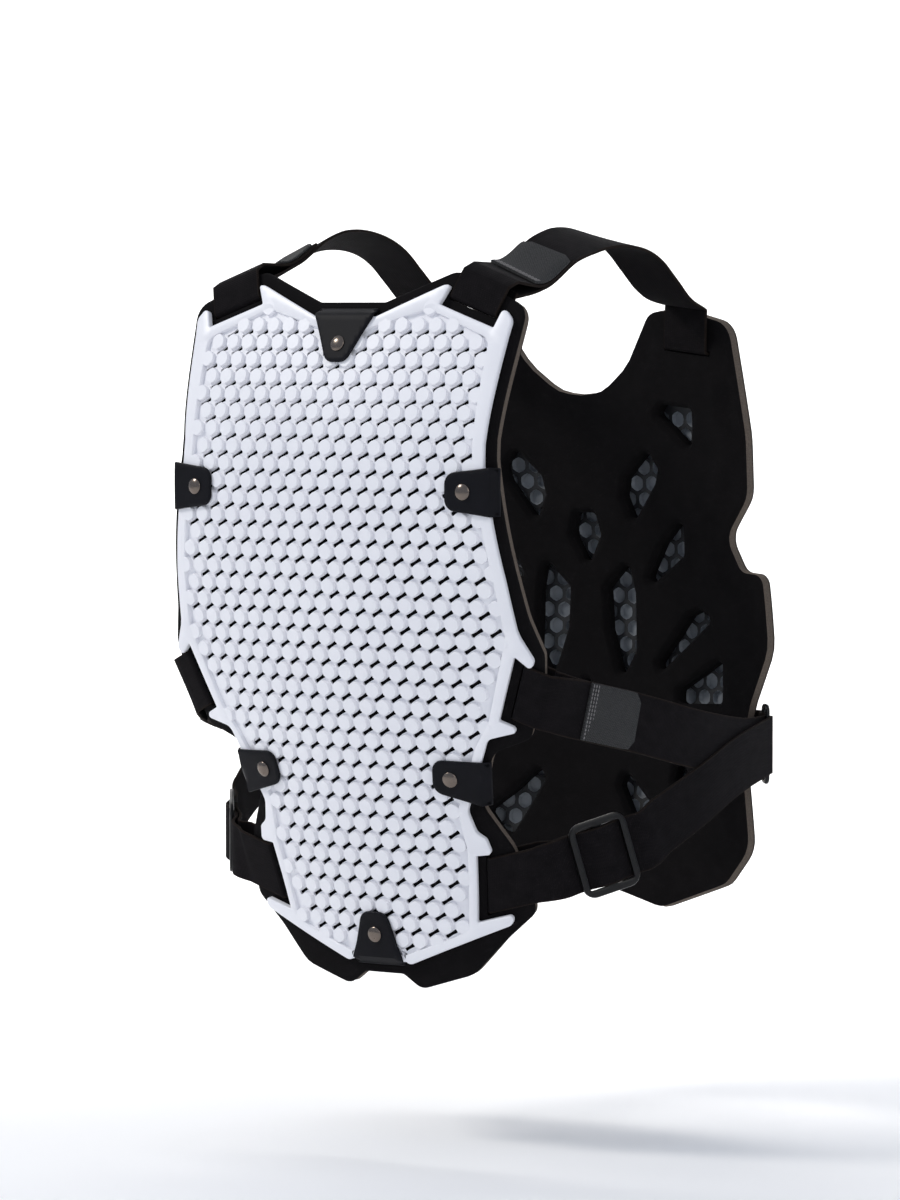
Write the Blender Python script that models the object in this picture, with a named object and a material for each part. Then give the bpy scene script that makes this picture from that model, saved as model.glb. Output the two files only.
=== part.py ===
"""Chest protector for off-road riding.

A moulded front shell and a moulded rear shell lie on padded liners. Two elastic shoulder
straps and two elastic waist straps join the front to the back. The origin is midway
between the undersides of the shoulder straps at their highest point, where the
protector rests on the wearer. +Z is up, -Y is the front and +X is the wearer's left.
Every size is in metres.
"""
import math

import bmesh
import bpy
from mathutils import Vector
from mathutils.geometry import delaunay_2d_cdt

# Gap that neighbouring pieces keep, and the looser fit of things that thread through
GAP = 0.0003
THREAD_FIT = 0.0005
SHELL_SEAT = 0.0010

# Front liner: its cut outline and its thickness
FRONT_WIDTH = 0.306
FRONT_HEIGHT = 0.487
FRONT_DROP = 0.022
FRONT_REACH = 0.150
FRONT_LINER = 0.008
CHEST_RISE = 0.064
FRONT_SIDE_FALL = 0.035

# Rear liner: the same measures
REAR_WIDTH = 0.342
REAR_HEIGHT = 0.424
REAR_DROP = 0.047
REAR_REACH = 0.175
REAR_LINER = 0.011
BACK_RISE = 0.021
REAR_SIDE_FALL = 0.030

# Moulded shells: wall, and how far the liner shows round them
SHELL = 0.002
SIDE_BORDER = 0.007
TOP_BORDER = 0.011
BOTTOM_BORDER = 0.018

# Lugs moulded on the shells, each with a slanted vent slit beside it. The lattice here is
# three times as coarse as the moulding's in front and four times at the rear.
FRONT_LUG_PITCH = 0.0399
REAR_LUG_PITCH = 0.0532
LUG_RISE = 0.0022
LUG_SHARE = 0.40
SLIT_WIDTH_SHARE = 0.13

# Elastic straps
STRAP_WIDTH = 0.040
STRAP = 0.002
STRAP_EASE = 0.0010
SLOT_CLEARANCE = 0.0035
SLOT_OPENING = 0.009
SHOULDER_ARCH = 0.039
SHOULDER_TILT = math.radians(25)
WAIST_BULGE = 0.0216
LOWER_BULGE = 0.039
WAIST_DROOP = 0.013
STRAP_TAIL = 0.095
HOOK_PATCH = 0.0016
HOOK_PATCH_LENGTH = 0.046
SEWN_LAP = 0.018
TAPER = 0.035
RUN_STEP = 0.008
WEAVE_STEP = 0.004

# Tabs that fold from the liner over the shell, and the rivets that hold them
TAB = 0.0022
TAB_SEAT = 0.0007
TAB_LAP = 0.006
RIVET_CAP = 0.0110
RIVET_DOME = 0.0024
RIVET_SHANK = 0.0044
RIVET_BACK = 0.0012
RIVET_SIDES = 8

# Slider on the lower run of each waist strap, and the ring at its rear
SLIDER_LENGTH = 0.042
SLIDER_BAR = 0.005
SLIDER_THICKNESS = 0.0030
SLIDER_PLACE = 0.080
RING_SPREAD = 0.352
RING_DROP = 0.349
RING_BACK = 0.125
RING_LENGTH = 0.017
RING_BAR = 0.0034
RING_FIT = 0.009
RING_WEBBING = 0.0016
WIRE_SIDES = 6

# Where the ring's webbing lies on the rear shell, as shares of the rear half width
WEBBING_LAP = (0.66, 0.73, 0.80, 0.895)

# Corner radius unit for the cut outlines, and the spacing of the bends in the panels
CORNER = 0.010
PANEL_STEP = 0.024
TAB_STEP = 0.009
ARC_STEP = math.radians(38)

# How the front panel bends: share of its height from the bottom, how far it lies behind
# its most forward point as a share of CHEST_RISE, and how far its sides fall back as a
# share of FRONT_SIDE_FALL
FRONT_BENDS = (
    (0.00, 1.02, 1.00),
    (0.10, 0.93, 1.00),
    (0.27, 0.58, 0.82),
    (0.44, 0.25, 0.64),
    (0.60, 0.035, 0.44),
    (0.70, 0.00, 0.35),
    (0.80, 0.08, 0.31),
    (0.94, 0.41, 0.30),
    (1.00, 0.56, 0.30),
)

# How the rear panel bends, with BACK_RISE and REAR_SIDE_FALL
REAR_BENDS = (
    (0.00, 0.92, 1.00),
    (0.16, 0.43, 1.00),
    (0.30, 0.14, 1.00),
    (0.50, 0.00, 1.00),
    (0.65, 0.20, 1.00),
    (0.80, 0.45, 0.95),
    (1.00, 1.00, 0.90),
)


class Panel:
    """One curved side of the protector. Its skin is the liner's shell side."""

    def __init__(self, facing, width, height, drop, reach, rise, fall, bends):
        self.facing = facing
        self.half = width / 2
        self.height = height
        self.bottom = -drop - height
        self.reach = reach
        self.rise = rise
        self.fall = fall
        self.bends = bends

    def at(self, x_share, z_share):
        """Flat place from shares of the half width and of the height."""
        return Vector((x_share * self.half, self.bottom + z_share * self.height))

    def depth(self, x, z):
        """How far forward or back the skin stands at a flat place."""
        share = (z - self.bottom) / self.height
        back = smooth_table(self.bends, 1, share) * self.rise
        fall = smooth_table(self.bends, 2, share) * self.fall
        return self.facing * (self.reach - back - fall * (x / self.half) ** 2)

    def skin(self, x, z, out=0.0):
        """Point at a flat place, moved out from the wearer along the skin's normal."""
        step = 0.001
        slope_x = (self.depth(x + step, z) - self.depth(x - step, z)) / (2 * step)
        slope_z = (self.depth(x, z + step) - self.depth(x, z - step)) / (2 * step)
        normal = Vector((-slope_x, 1.0, -slope_z)).normalized() * self.facing
        return Vector((x, self.depth(x, z), z)) + normal * out

    def frame(self, flat, heading):
        """Centre, heading on the skin, direction across it, and the outward normal."""
        step = 0.002
        centre = self.skin(flat.x, flat.y)
        ahead = self.skin(flat.x + heading.x * step, flat.y + heading.y * step)
        outward = (self.skin(flat.x, flat.y, step) - centre).normalized()
        along = (ahead - centre)
        along = (along - outward * along.dot(outward)).normalized()
        return centre, along, outward.cross(along), outward


def smooth_table(rows, column, share):
    """Read a column of a table at a share between its rows, with a smooth curve."""
    share = min(max(share, rows[0][0]), rows[-1][0])
    place = 0
    while place < len(rows) - 2 and share > rows[place + 1][0]:
        place += 1
    low, high = rows[place], rows[place + 1]

    def slope(index):
        before, after = rows[max(index - 1, 0)], rows[min(index + 1, len(rows) - 1)]
        return (after[column] - before[column]) / (after[0] - before[0])

    span = high[0] - low[0]
    t = (share - low[0]) / span
    start, end = slope(place) * span, slope(place + 1) * span
    return ((2 * t ** 3 - 3 * t ** 2 + 1) * low[column] + (t ** 3 - 2 * t ** 2 + t) * start
            + (3 * t ** 2 - 2 * t ** 3) * high[column] + (t ** 3 - t ** 2) * end)


FRONT = Panel(-1, FRONT_WIDTH, FRONT_HEIGHT, FRONT_DROP, FRONT_REACH, CHEST_RISE,
              FRONT_SIDE_FALL, FRONT_BENDS)
REAR = Panel(1, REAR_WIDTH, REAR_HEIGHT, REAR_DROP, REAR_REACH, BACK_RISE,
             REAR_SIDE_FALL, REAR_BENDS)


class Slot:
    """Slot for a strap. Its inner edge is centred on a flat place of the panel."""

    def __init__(self, panel, x_share, z_share, turn, lead):
        self.panel = panel
        self.centre = panel.at(x_share, z_share)
        angle, leave = math.radians(turn), math.radians(lead)
        self.along = Vector((math.cos(angle), math.sin(angle)))
        self.out = Vector((math.cos(leave), math.sin(leave)))
        self.half = STRAP_WIDTH / 2 + SLOT_CLEARANCE

    def at(self, along, out):
        """Flat place: along in shares of the half length, out in metres."""
        return self.centre + self.along * (along * self.half) + self.out * out

    def hole(self):
        """The slot through the liner, beside the shell's edge."""
        inner, outer = THREAD_FIT, THREAD_FIT + SLOT_OPENING
        return [self.at(-1, inner), self.at(1, inner), self.at(1, outer), self.at(-1, outer)]

    def solid_at(self, out, height):
        """Point over the middle of the slot, out along the panel and above its skin."""
        flat = self.at(0, out)
        return self.panel.skin(flat.x, flat.y, height)

    def axes(self, out):
        """Directions along the slot, out of it and away from the wearer."""
        centre, along, _, outward = self.panel.frame(self.at(0, out), self.along)
        return along, (self.solid_at(out + 0.002, 0) - centre).normalized(), outward


# Slots: the middle of the inner edge as shares of the panel, then the headings in degrees
# of that edge and of the strap as it leaves
SHOULDER_SLOT = Slot(FRONT, 0.621, 0.935, -19.5, 70.5)
MIDDLE_SLOT = Slot(FRONT, 0.819, 0.434, -112.0, -22.0)
LOWER_SLOT = Slot(FRONT, 0.526, 0.150, -98.5, 14.5)
REAR_SLOT = Slot(REAR, 0.602, 0.915, -6.0, 84.0)


def rounded(corners):
    """Outline with each corner rounded: corners are (flat place, radius share of CORNER)."""
    outline = []
    count = len(corners)
    for index, (corner, share) in enumerate(corners):
        before = corners[index - 1][0] - corner
        after = corners[(index + 1) % count][0] - corner
        radius = share * CORNER
        angle = before.angle(after)
        if radius == 0 or math.pi - angle < 0.02:
            outline.append(corner)
            continue
        reach = radius / math.tan(angle / 2)
        reach = min(reach, before.length * 0.48, after.length * 0.48)
        radius = reach * math.tan(angle / 2)
        start = corner + before.normalized() * reach
        end = corner + after.normalized() * reach
        middle = corner + (before.normalized() + after.normalized()).normalized() * (
            radius / math.sin(angle / 2))
        turn = (start - middle).angle_signed(end - middle)
        steps = max(1, round(abs(turn) / ARC_STEP))
        arm = start - middle
        for step in range(steps + 1):
            bend = -turn * step / steps
            outline.append(middle + Vector((
                arm.x * math.cos(bend) - arm.y * math.sin(bend),
                arm.x * math.sin(bend) + arm.y * math.cos(bend))))
    return outline


def mirrored(corners):
    """Whole outline from the corners of its +X half, listed from the top down."""
    return corners + [(Vector((-c.x, c.y)), r) for c, r in reversed(corners) if c.x > 1e-9]


def corners_at(panel, rows, inset=(0.0, 0.0, 0.0)):
    """Corners from rows of x share, z share and radius share, inside a border."""
    side, top, bottom = inset
    return [(Vector((x * (panel.half - side),
                     panel.bottom + bottom + z * (panel.height - top - bottom))), r)
            for x, z, r in rows]


# Cut outlines of the +X half, from the top down: x share, z share, corner radius share
FRONT_LINER_CUT = (
    (0.176, 0.957, 0.5), (0.520, 1.000, 1.3), (0.895, 0.950, 1.3), (0.846, 0.758, 6.0),
    (0.954, 0.528, 3.0), (1.000, 0.479, 0.7), (0.985, 0.448, 0.8), (0.876, 0.361, 0.9),
    (0.693, 0.340, 1.4), (0.608, 0.265, 1.0), (0.712, 0.207, 1.2), (0.765, 0.117, 0.9),
    (0.614, 0.076, 2.0), (0.458, 0.025, 2.0), (0.196, 0.000, 1.0), (0.105, 0.020, 0.6),
)
REAR_LINER_CUT = (
    (0.000, 0.856, 0.0), (0.110, 0.860, 3.0), (0.250, 0.905, 3.0), (0.390, 0.995, 1.4),
    (0.560, 1.000, 2.0), (0.830, 0.975, 1.6), (0.893, 0.790, 5.0), (0.893, 0.690, 2.0),
    (0.760, 0.622, 1.4), (0.840, 0.566, 1.0), (0.965, 0.563, 0.9), (1.000, 0.440, 3.0),
    (0.900, 0.350, 2.0), (0.850, 0.270, 4.0), (0.940, 0.110, 2.0), (0.820, 0.050, 1.6),
    (0.460, 0.000, 2.0), (0.180, 0.026, 2.0),
)
SHELL_BORDER = (SIDE_BORDER, TOP_BORDER, BOTTOM_BORDER)
FRONT_SHELL_TOP = ((0.171, 0.954, 0.3), (0.510, 1.000, 0.8))
FRONT_SHELL_SIDE = ((0.890, 0.950, 0.7), (0.880, 0.925, 0.8), (0.839, 0.758, 6.0),
                    (0.925, 0.576, 6.0), (0.949, 0.502, 1.5))
FRONT_SHELL_WAIST = ((0.726, 0.346, 0.8), (0.572, 0.237, 0.8), (0.596, 0.206, 0.6),
                     (0.637, 0.197, 0.4))
FRONT_SHELL_FOOT = ((0.692, 0.068, 0.6), (0.438, 0.034, 6.0), (0.158, -0.003, 0.5),
                    (0.116, 0.024, 0.3))
REAR_SHELL_TOP = ((0.000, 0.855, 0.0), (0.110, 0.860, 3.0), (0.260, 0.905, 3.0),
                  (0.400, 0.990, 1.0), (0.440, 0.990, 0.4))
REAR_SHELL_SIDE = ((0.820, 0.965, 1.0), (0.880, 0.790, 5.0), (0.880, 0.690, 2.0),
                   (0.745, 0.622, 1.4), (0.840, 0.555, 1.0), (0.960, 0.553, 0.9),
                   (1.000, 0.440, 3.0), (0.890, 0.350, 2.0), (0.830, 0.260, 4.0),
                   (0.860, 0.120, 2.0), (0.700, 0.020, 1.6), (0.420, 0.000, 2.0),
                   (0.160, 0.016, 2.0))

# Horns of the front shell round each slot: along in shares of the half length, how far
# out in metres, and corner radius share
SHOULDER_HORNS = ((-0.93, 0.014, 0.2), (-1.0, 0.000, 0.1), (1.0, 0.000, 0.1),
                  (1.0, 0.015, 0.3))
MIDDLE_HORNS = ((-1.10, 0.013, 0.4), (-0.80, 0.0125, 0.3), (-1.0, 0.000, 0.1),
                (1.0, 0.000, 0.1), (1.02, 0.0165, 0.25))
LOWER_HORNS = ((-0.93, 0.0120, 0.3), (-1.0, 0.000, 0.1), (1.0, 0.000, 0.1),
               (1.0, 0.0265, 0.3))
REAR_HORNS = ((-1.0, 0.000, 0.1), (1.0, 0.000, 0.1))

# Vents through the rear liner, +X half: corners as shares of the half width and height
REAR_VENTS = (
    ((0.395, 0.825), (0.432, 0.842), (0.590, 0.835), (0.580, 0.765)),
    ((0.333, 0.763), (0.386, 0.733), (0.368, 0.708), (0.246, 0.641), (0.199, 0.686),
     (0.216, 0.717)),
    ((0.520, 0.655), (0.514, 0.590), (0.340, 0.540), (0.316, 0.550), (0.398, 0.606)),
    ((0.210, 0.576), (0.240, 0.524), (0.246, 0.425), (0.175, 0.375), (0.105, 0.460),
     (0.095, 0.530)),
    ((0.600, 0.498), (0.670, 0.484), (0.385, 0.392), (0.370, 0.406), (0.540, 0.488)),
    ((0.730, 0.420), (0.735, 0.345), (0.490, 0.340), (0.490, 0.363)),
    ((0.216, 0.222), (0.193, 0.198), (0.327, 0.106), (0.380, 0.111), (0.450, 0.144),
     (0.340, 0.177)),
    ((0.500, 0.245), (0.560, 0.225), (0.470, 0.190)),
)
REAR_MIDDLE_VENTS = (
    ((0.000, 0.566), (0.070, 0.620), (0.045, 0.657), (-0.045, 0.657), (-0.070, 0.620)),
    ((0.000, 0.385), (0.050, 0.340), (0.030, 0.290), (-0.030, 0.290), (-0.050, 0.340)),
)

# Riveted tabs: name, rivet's x share and z share, heading in degrees, reach behind the
# rivet, and half widths at its inner end and at the shell's edge
TABS = (
    ("top", 0.000, 0.895, 90, 0.012, 0.008, 0.024),
    ("upper", 0.719, 0.700, 0, 0.014, 0.012, 0.016),
    ("lower", 0.500, 0.307, -8, 0.013, 0.011, 0.015),
    ("bottom", 0.000, 0.078, -90, 0.016, 0.010, 0.020),
)


def slot_corners(slot, rows):
    """Corners placed from a slot, so that the horns keep to it."""
    return [(slot.at(along, out), radius) for along, out, radius in rows]


def front_shell_outline():
    """Cut outline of the front shell with its six open slots."""
    def part(rows):
        return corners_at(FRONT, rows, SHELL_BORDER)
    return rounded(mirrored(
        part(FRONT_SHELL_TOP) + slot_corners(SHOULDER_SLOT, SHOULDER_HORNS)
        + part(FRONT_SHELL_SIDE) + slot_corners(MIDDLE_SLOT, MIDDLE_HORNS)
        + part(FRONT_SHELL_WAIST) + slot_corners(LOWER_SLOT, LOWER_HORNS)
        + part(FRONT_SHELL_FOOT)))


def rear_shell_outline():
    """Cut outline of the rear shell, whose notches leave room for the sewn straps."""
    notch = [(REAR_SLOT.at(along, out - SEWN_LAP - 2 * THREAD_FIT), radius)
             for along, out, radius in REAR_HORNS]
    return rounded(mirrored(
        corners_at(REAR, REAR_SHELL_TOP, SHELL_BORDER) + notch
        + corners_at(REAR, REAR_SHELL_SIDE, SHELL_BORDER)))


def edge_reach(outline, start, heading):
    """Distance from a place inside an outline to where a straight line leaves it."""
    reach = []
    for index, corner in enumerate(outline):
        side = outline[index - 1] - corner
        across = heading.x * side.y - heading.y * side.x
        if abs(across) < 1e-12:
            continue
        gap = corner - start
        distance = (gap.x * side.y - gap.y * side.x) / across
        share = (gap.x * heading.y - gap.y * heading.x) / across
        if distance > 0 and 0 <= share <= 1:
            reach.append(distance)
    return min(reach)


def clear_of(outline, place):
    """Distance from a place to the nearest side of an outline."""
    nearest = 1.0
    for index, corner in enumerate(outline):
        side = outline[index - 1] - corner
        share = min(max((place - corner).dot(side) / side.length_squared, 0.0), 1.0)
        nearest = min(nearest, (corner + side * share - place).length)
    return nearest


def inside(outline, place):
    """Whether a place lies within an outline."""
    odd = False
    for index, corner in enumerate(outline):
        other = outline[index - 1]
        if (corner.y > place.y) != (other.y > place.y):
            crossing = corner.x + (place.y - corner.y) / (other.y - corner.y) * (
                other.x - corner.x)
            odd = odd != (place.x < crossing)
    return odd


def triangles(outline, holes, marks, spots):
    """Flat triangles over an outline, without its holes. Marks are inner loops to follow."""
    places = list(outline)
    loops = [list(range(len(outline)))]
    for loop in list(holes) + list(marks):
        loops.append(list(range(len(places), len(places) + len(loop))))
        places.extend(loop)
    edges = [(loop[i - 1], loop[i]) for loop in loops for i in range(len(loop))]
    places.extend(spots)
    flat, _, faces, old, _, _ = delaunay_2d_cdt(places, edges, [], 0, 1e-7)
    kept = []
    for face in faces:
        first, second, third = (flat[corner] for corner in face)
        middle = (first + second + third) / 3
        sliver = abs((second - first).cross(third - first)) < GAP * GAP / 100
        if not sliver and inside(outline, middle) and not any(inside(hole, middle) for hole in holes):
            kept.append(face)
    names = {new: originals[0] for new, originals in enumerate(old) if originals}
    return [[names[corner] for corner in face] for face in kept], places


def stepped(outline, step):
    """Outline whose long sides are divided, so that they can follow a bend."""
    divided = []
    for index, corner in enumerate(outline):
        before = outline[index - 1]
        count = max(1, round((corner - before).length / step))
        divided += [before.lerp(corner, (i + 1) / count) for i in range(count)]
    return divided


def slab(name, outline, holes, place, material, lugs=(), step=PANEL_STEP):
    """Closed plate between place(flat, 0) and place(flat, 1), with raised lugs on top."""
    rise = {}
    outline = stepped(outline, step)
    low, high = Vector((1.0, 1.0)), Vector((-1.0, -1.0))
    for corner in outline:
        low = Vector(map(min, low, corner))
        high = Vector(map(max, high, corner))
    spots = []
    loops = [outline] + list(holes) + [foot for foot, _ in lugs]
    for column in range(int((high.x - low.x) / step) + 1):
        for row in range(int((high.y - low.y) / step) + 1):
            spot = low + Vector((column + 0.5, row + 0.5)) * step
            if inside(outline, spot) and not any(inside(loop, spot) for loop in loops[1:]):
                if min(clear_of(loop, spot) for loop in loops) > step / 8:
                    spots.append(spot)
    marks = [loop for lug in lugs for loop in lug]
    top, top_places = triangles(outline, holes, marks, spots)
    base, base_places = triangles(outline, holes, (), spots)
    shape = bmesh.new()
    crest = {(round(c.x, 7), round(c.y, 7)) for _, head in lugs for c in head}
    for corner in top_places:
        rise[(round(corner.x, 7), round(corner.y, 7))] = 1
    for key in crest:
        rise[key] = 2
    above = [shape.verts.new(place(c, rise[(round(c.x, 7), round(c.y, 7))]))
             for c in top_places]
    below = [shape.verts.new(place(c, 0)) for c in base_places]
    for face in top:
        shape.faces.new([above[i] for i in face])
    for face in base:
        shape.faces.new([below[i] for i in reversed(face)])
    start = 0
    for loop in [outline] + list(holes):
        for i in range(len(loop)):
            a, b = start + i, start + (i + 1) % len(loop)
            shape.faces.new((above[a], above[b], below[b], below[a]))
        start += len(loop)
    for vert in [v for v in shape.verts if not v.link_faces]:
        shape.verts.remove(vert)
    return finish(name, shape, material)


def finish(name, shape, material, smooth=False):
    """Turn a closed shape's faces outwards and make it a named object."""
    bmesh.ops.recalc_face_normals(shape, faces=shape.faces)
    bmesh.ops.triangulate(shape, faces=shape.faces)
    mesh = bpy.data.meshes.new(name)
    shape.to_mesh(mesh)
    shape.free()
    mesh.materials.append(material)
    if smooth:
        mesh.shade_smooth()
        mesh.set_sharp_from_angle(angle=math.radians(40))
    piece = bpy.data.objects.new(name, mesh)
    bpy.context.collection.objects.link(piece)
    return piece


def other_side(piece, name):
    """The same piece mirrored to the wearer's right."""
    shape = bmesh.new()
    shape.from_mesh(piece.data)
    bmesh.ops.scale(shape, vec=(-1, 1, 1), verts=shape.verts)
    smooth = any(face.smooth for face in shape.faces)
    return finish(name, shape, piece.data.materials[0], smooth)


def finish_material(name, colour, roughness, metallic=0.0):
    """Principled material of one colour."""
    material = bpy.data.materials.new(name)
    material.use_nodes = True
    shader = material.node_tree.nodes["Principled BSDF"]
    shader.inputs["Base Color"].default_value = (*colour, 1.0)
    shader.inputs["Roughness"].default_value = roughness
    shader.inputs["Metallic"].default_value = metallic
    return material


def polygon(centre, radius, sides, turn=0.0):
    """Regular outline round a flat place."""
    return [centre + Vector((math.cos(turn + 2 * math.pi * i / sides),
                             math.sin(turn + 2 * math.pi * i / sides))) * radius
            for i in range(sides)]


def touching(first, second):
    """Whether a corner of one outline lies within another or nearly on it."""
    return any(inside(second, c) or clear_of(second, c) < GAP * 4 for c in first)


def lug_lattice(panel, outline, pitch, keep_clear):
    """Lugs and slits on a staggered lattice, wherever they fit inside the border."""
    lugs, slits = [], []
    row_pitch = pitch * math.sqrt(3) / 2
    rows = int(panel.height / row_pitch) + 1
    columns = int(panel.half / pitch) + 1
    for row in range(rows):
        for column in range(-columns, columns + 1):
            centre = Vector(((column + 0.5 * (row % 2)) * pitch,
                             panel.bottom + (row + 0.5) * row_pitch))
            foot = polygon(centre, pitch * (LUG_SHARE + 0.05), 6)
            head = polygon(centre, pitch * (LUG_SHARE - 0.04), 6)
            half = Vector((0.20, 0.16)) * pitch
            across = Vector((-half.y, half.x)).normalized() * (pitch * SLIT_WIDTH_SHARE / 2)
            middle = centre + Vector((-0.5, 0.5 / math.sqrt(3))) * pitch
            slit = [middle - half * 0.55 - across, middle + half * 0.55 - across,
                    middle + half * 0.55 + across, middle - half * 0.55 + across]

            def free(loop, border):
                return (all(inside(outline, c) for c in loop)
                        and min(clear_of(outline, c) for c in loop) > border
                        and not any(touching(loop, area) or touching(area, loop)
                                    for area in keep_clear))
            if free(foot, SIDE_BORDER * 0.5):
                lugs.append((foot, head))
            if free(slit, SIDE_BORDER):
                slits.append(slit)
    return lugs, slits


def tab_outline(row, outline):
    """Flat outline of a tab, its rivet's place, and where the shell ends beneath it."""
    _, x_share, z_share, turn, behind, inner, outer = row
    rivet = FRONT.at(x_share, z_share)
    heading = Vector((math.cos(math.radians(turn)), math.sin(math.radians(turn))))
    across = Vector((-heading.y, heading.x))
    edge = max(edge_reach(outline, rivet + across * (outer * share), heading)
               for share in (-1.02, 0.0, 1.02))
    end = edge + TAB_LAP
    corners = [(rivet - heading * behind + across * inner, 0.5),
               (rivet - heading * behind - across * inner, 0.5),
               (rivet + heading * edge - across * outer, 0.4),
               (rivet + heading * end - across * outer, 0.1),
               (rivet + heading * end + across * outer, 0.1),
               (rivet + heading * edge + across * outer, 0.4)]
    return rounded(corners), rivet, heading, edge


def layer(panel, inner, outer, crest=0.0):
    """Placing rule for a plate that lies between two heights over a panel's skin."""
    heights = (inner, outer, outer + crest)
    return lambda flat, level: panel.skin(flat.x, flat.y, heights[level])


def tab_layer(rivet, heading, edge):
    """Placing rule for a tab that steps down from the shell onto the liner."""
    def place(flat, level):
        beyond = (flat - rivet).dot(heading) - edge - 2 * THREAD_FIT
        drop = min(max(beyond / SHELL, 0.0), 1.0) * (SHELL + SHELL_SEAT)
        low = SHELL + SHELL_SEAT + TAB_SEAT - drop
        return FRONT.skin(flat.x, flat.y, low + TAB * min(level, 1))
    return place


def cut_across(corners, rivet, heading, distances):
    """Add the corners that a tab's sides need where it bends."""
    added = []
    for index, corner in enumerate(corners):
        before = corners[index - 1]
        start, end = (before - rivet).dot(heading), (corner - rivet).dot(heading)
        inner = [d for d in distances if min(start, end) < d < max(start, end)]
        for distance in sorted(inner, reverse=start > end):
            added.append(before.lerp(corner, (distance - start) / (end - start)))
        added.append(corner)
    return [c for i, c in enumerate(added) if (c - added[i - 1]).length > GAP / 10]


def rivet_piece(name, flat, material):
    """Domed cap, shank and flat back, turned about the panel's normal."""
    centre, along, across, outward = FRONT.frame(flat, Vector((1, 0)))
    top = SHELL + SHELL_SEAT + TAB_SEAT + TAB + GAP
    back = -FRONT_LINER - GAP
    cap, shank = RIVET_CAP / 2, RIVET_SHANK / 2
    profile = [(0.0, top + RIVET_DOME), (cap * 0.5, top + RIVET_DOME * 0.86),
               (cap * 0.85, top + RIVET_DOME * 0.5), (cap, top), (shank, top),
               (shank, back), (cap * 0.8, back), (cap * 0.8, back - RIVET_BACK),
               (0.0, back - RIVET_BACK)]
    shape = bmesh.new()
    verts = [shape.verts.new(centre + along * r + outward * h) for r, h in profile]
    edges = [shape.edges.new(pair) for pair in zip(verts, verts[1:])]
    bmesh.ops.spin(shape, geom=verts + edges, cent=centre, axis=outward, steps=RIVET_SIDES,
                   angle=2 * math.pi, use_merge=True)
    bmesh.ops.remove_doubles(shape, verts=shape.verts, dist=1e-6)
    return finish(name, shape, material, smooth=True)


def curve_through(keys, spacing):
    """Evenly read smooth curve through key points."""
    line = []
    for index in range(len(keys) - 1):
        start, end = keys[index], keys[index + 1]
        before = keys[max(index - 1, 0)]
        after = keys[min(index + 2, len(keys) - 1)]
        span = (end - start).length
        lead = (end - before).normalized() * span
        trail = (after - start).normalized() * span
        steps = max(1, round(span / spacing))
        for step in range(steps):
            t = step / steps
            line.append((2 * t ** 3 - 3 * t ** 2 + 1) * start + (t ** 3 - 2 * t ** 2 + t) * lead
                        + (3 * t ** 2 - 2 * t ** 3) * end + (t ** 3 - t ** 2) * trail)
    return line + [keys[-1]]


def ribbon(name, stations, thickness, material):
    """Flat band through stations of point and full width vector."""
    shape = bmesh.new()
    rings = []
    for index, (point, width) in enumerate(stations):
        before = stations[max(index - 1, 0)][0]
        after = stations[min(index + 1, len(stations) - 1)][0]
        normal = (after - before).cross(width).normalized() * (thickness / 2)
        rings.append([shape.verts.new(point + width / 2 * a + normal * b)
                      for a, b in ((-1, -1), (1, -1), (1, 1), (-1, 1))])
    for first, second in zip(rings, rings[1:]):
        # Both flat faces are cut along the same diagonal, so bands laid on each other fit
        for a, b in ((0, 1), (3, 2)):
            shape.faces.new((first[a], first[b], second[b]))
            shape.faces.new((first[a], second[b], second[a]))
        for a, b in ((1, 2), (3, 0)):
            shape.faces.new((first[a], first[b], second[b], second[a]))
    shape.faces.new(rings[0])
    shape.faces.new(rings[-1])
    return finish(name, shape, material)


def arc(centre, start, toward, radius, turn, steps):
    """Points on an arc from direction start, turning toward another direction."""
    return [centre + (start * math.cos(turn * i / steps) + toward * math.sin(turn * i / steps))
            * radius for i in range(steps + 1)]


class Anchor:
    """Where a strap loops round the liner's margin beside a slot."""

    def __init__(self, slot, outline):
        self.slot = slot
        self.inner = THREAD_FIT + SLOT_OPENING
        self.edge = edge_reach(outline, slot.centre, slot.out)
        self.liner = FRONT_LINER if slot.panel is FRONT else REAR_LINER
        self.spread = self.liner / 2 + STRAP_EASE + STRAP / 2

    def margin(self):
        """Middle line from the slot out past the liner's edge, with outward normals."""
        reach = self.edge + 2 * STRAP
        steps = max(2, round((reach - self.inner) / 0.006))
        line = []
        for step in range(steps + 1):
            out = self.inner + (reach - self.inner) * step / steps
            along, _, outward = self.slot.axes(out)
            line.append((self.slot.solid_at(out, -self.liner / 2), along, outward))
        return line

    def turn(self):
        """Path through the slot, from over the liner to behind it."""
        along, out, outward = self.slot.axes(self.inner)
        radius = STRAP_EASE + STRAP / 2
        front = self.slot.solid_at(self.inner, 0)
        back = self.slot.solid_at(self.inner, -self.liner)
        points = (arc(front, outward, -out, radius, math.pi / 2, 3)
                  + arc(back, -out, -outward, radius, math.pi / 2, 3))
        return [(point, along) for point in points]


def doubled(line, spread):
    """Outer and inner layers of a folded strap, closing up along its middle line."""
    close = (STRAP + GAP) / 2
    outer, inner, run = [], [], 0.0
    for index, (point, width, outward) in enumerate(line):
        run += (point - line[index - 1][0]).length if index else 0.0
        share = spread(run)
        outer.append((point + outward * (close + share), width))
        inner.append((point - outward * (close + share), width))
    return outer, inner


def cut_to(stations, length):
    """The first stations of a band, up to about a length along it."""
    run, kept = 0.0, [stations[0]]
    for previous, station in zip(stations, stations[1:]):
        step = (station[0] - previous[0]).length
        if run + step / 2 > length:
            break
        run += step
        kept.append(station)
    return kept


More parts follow.
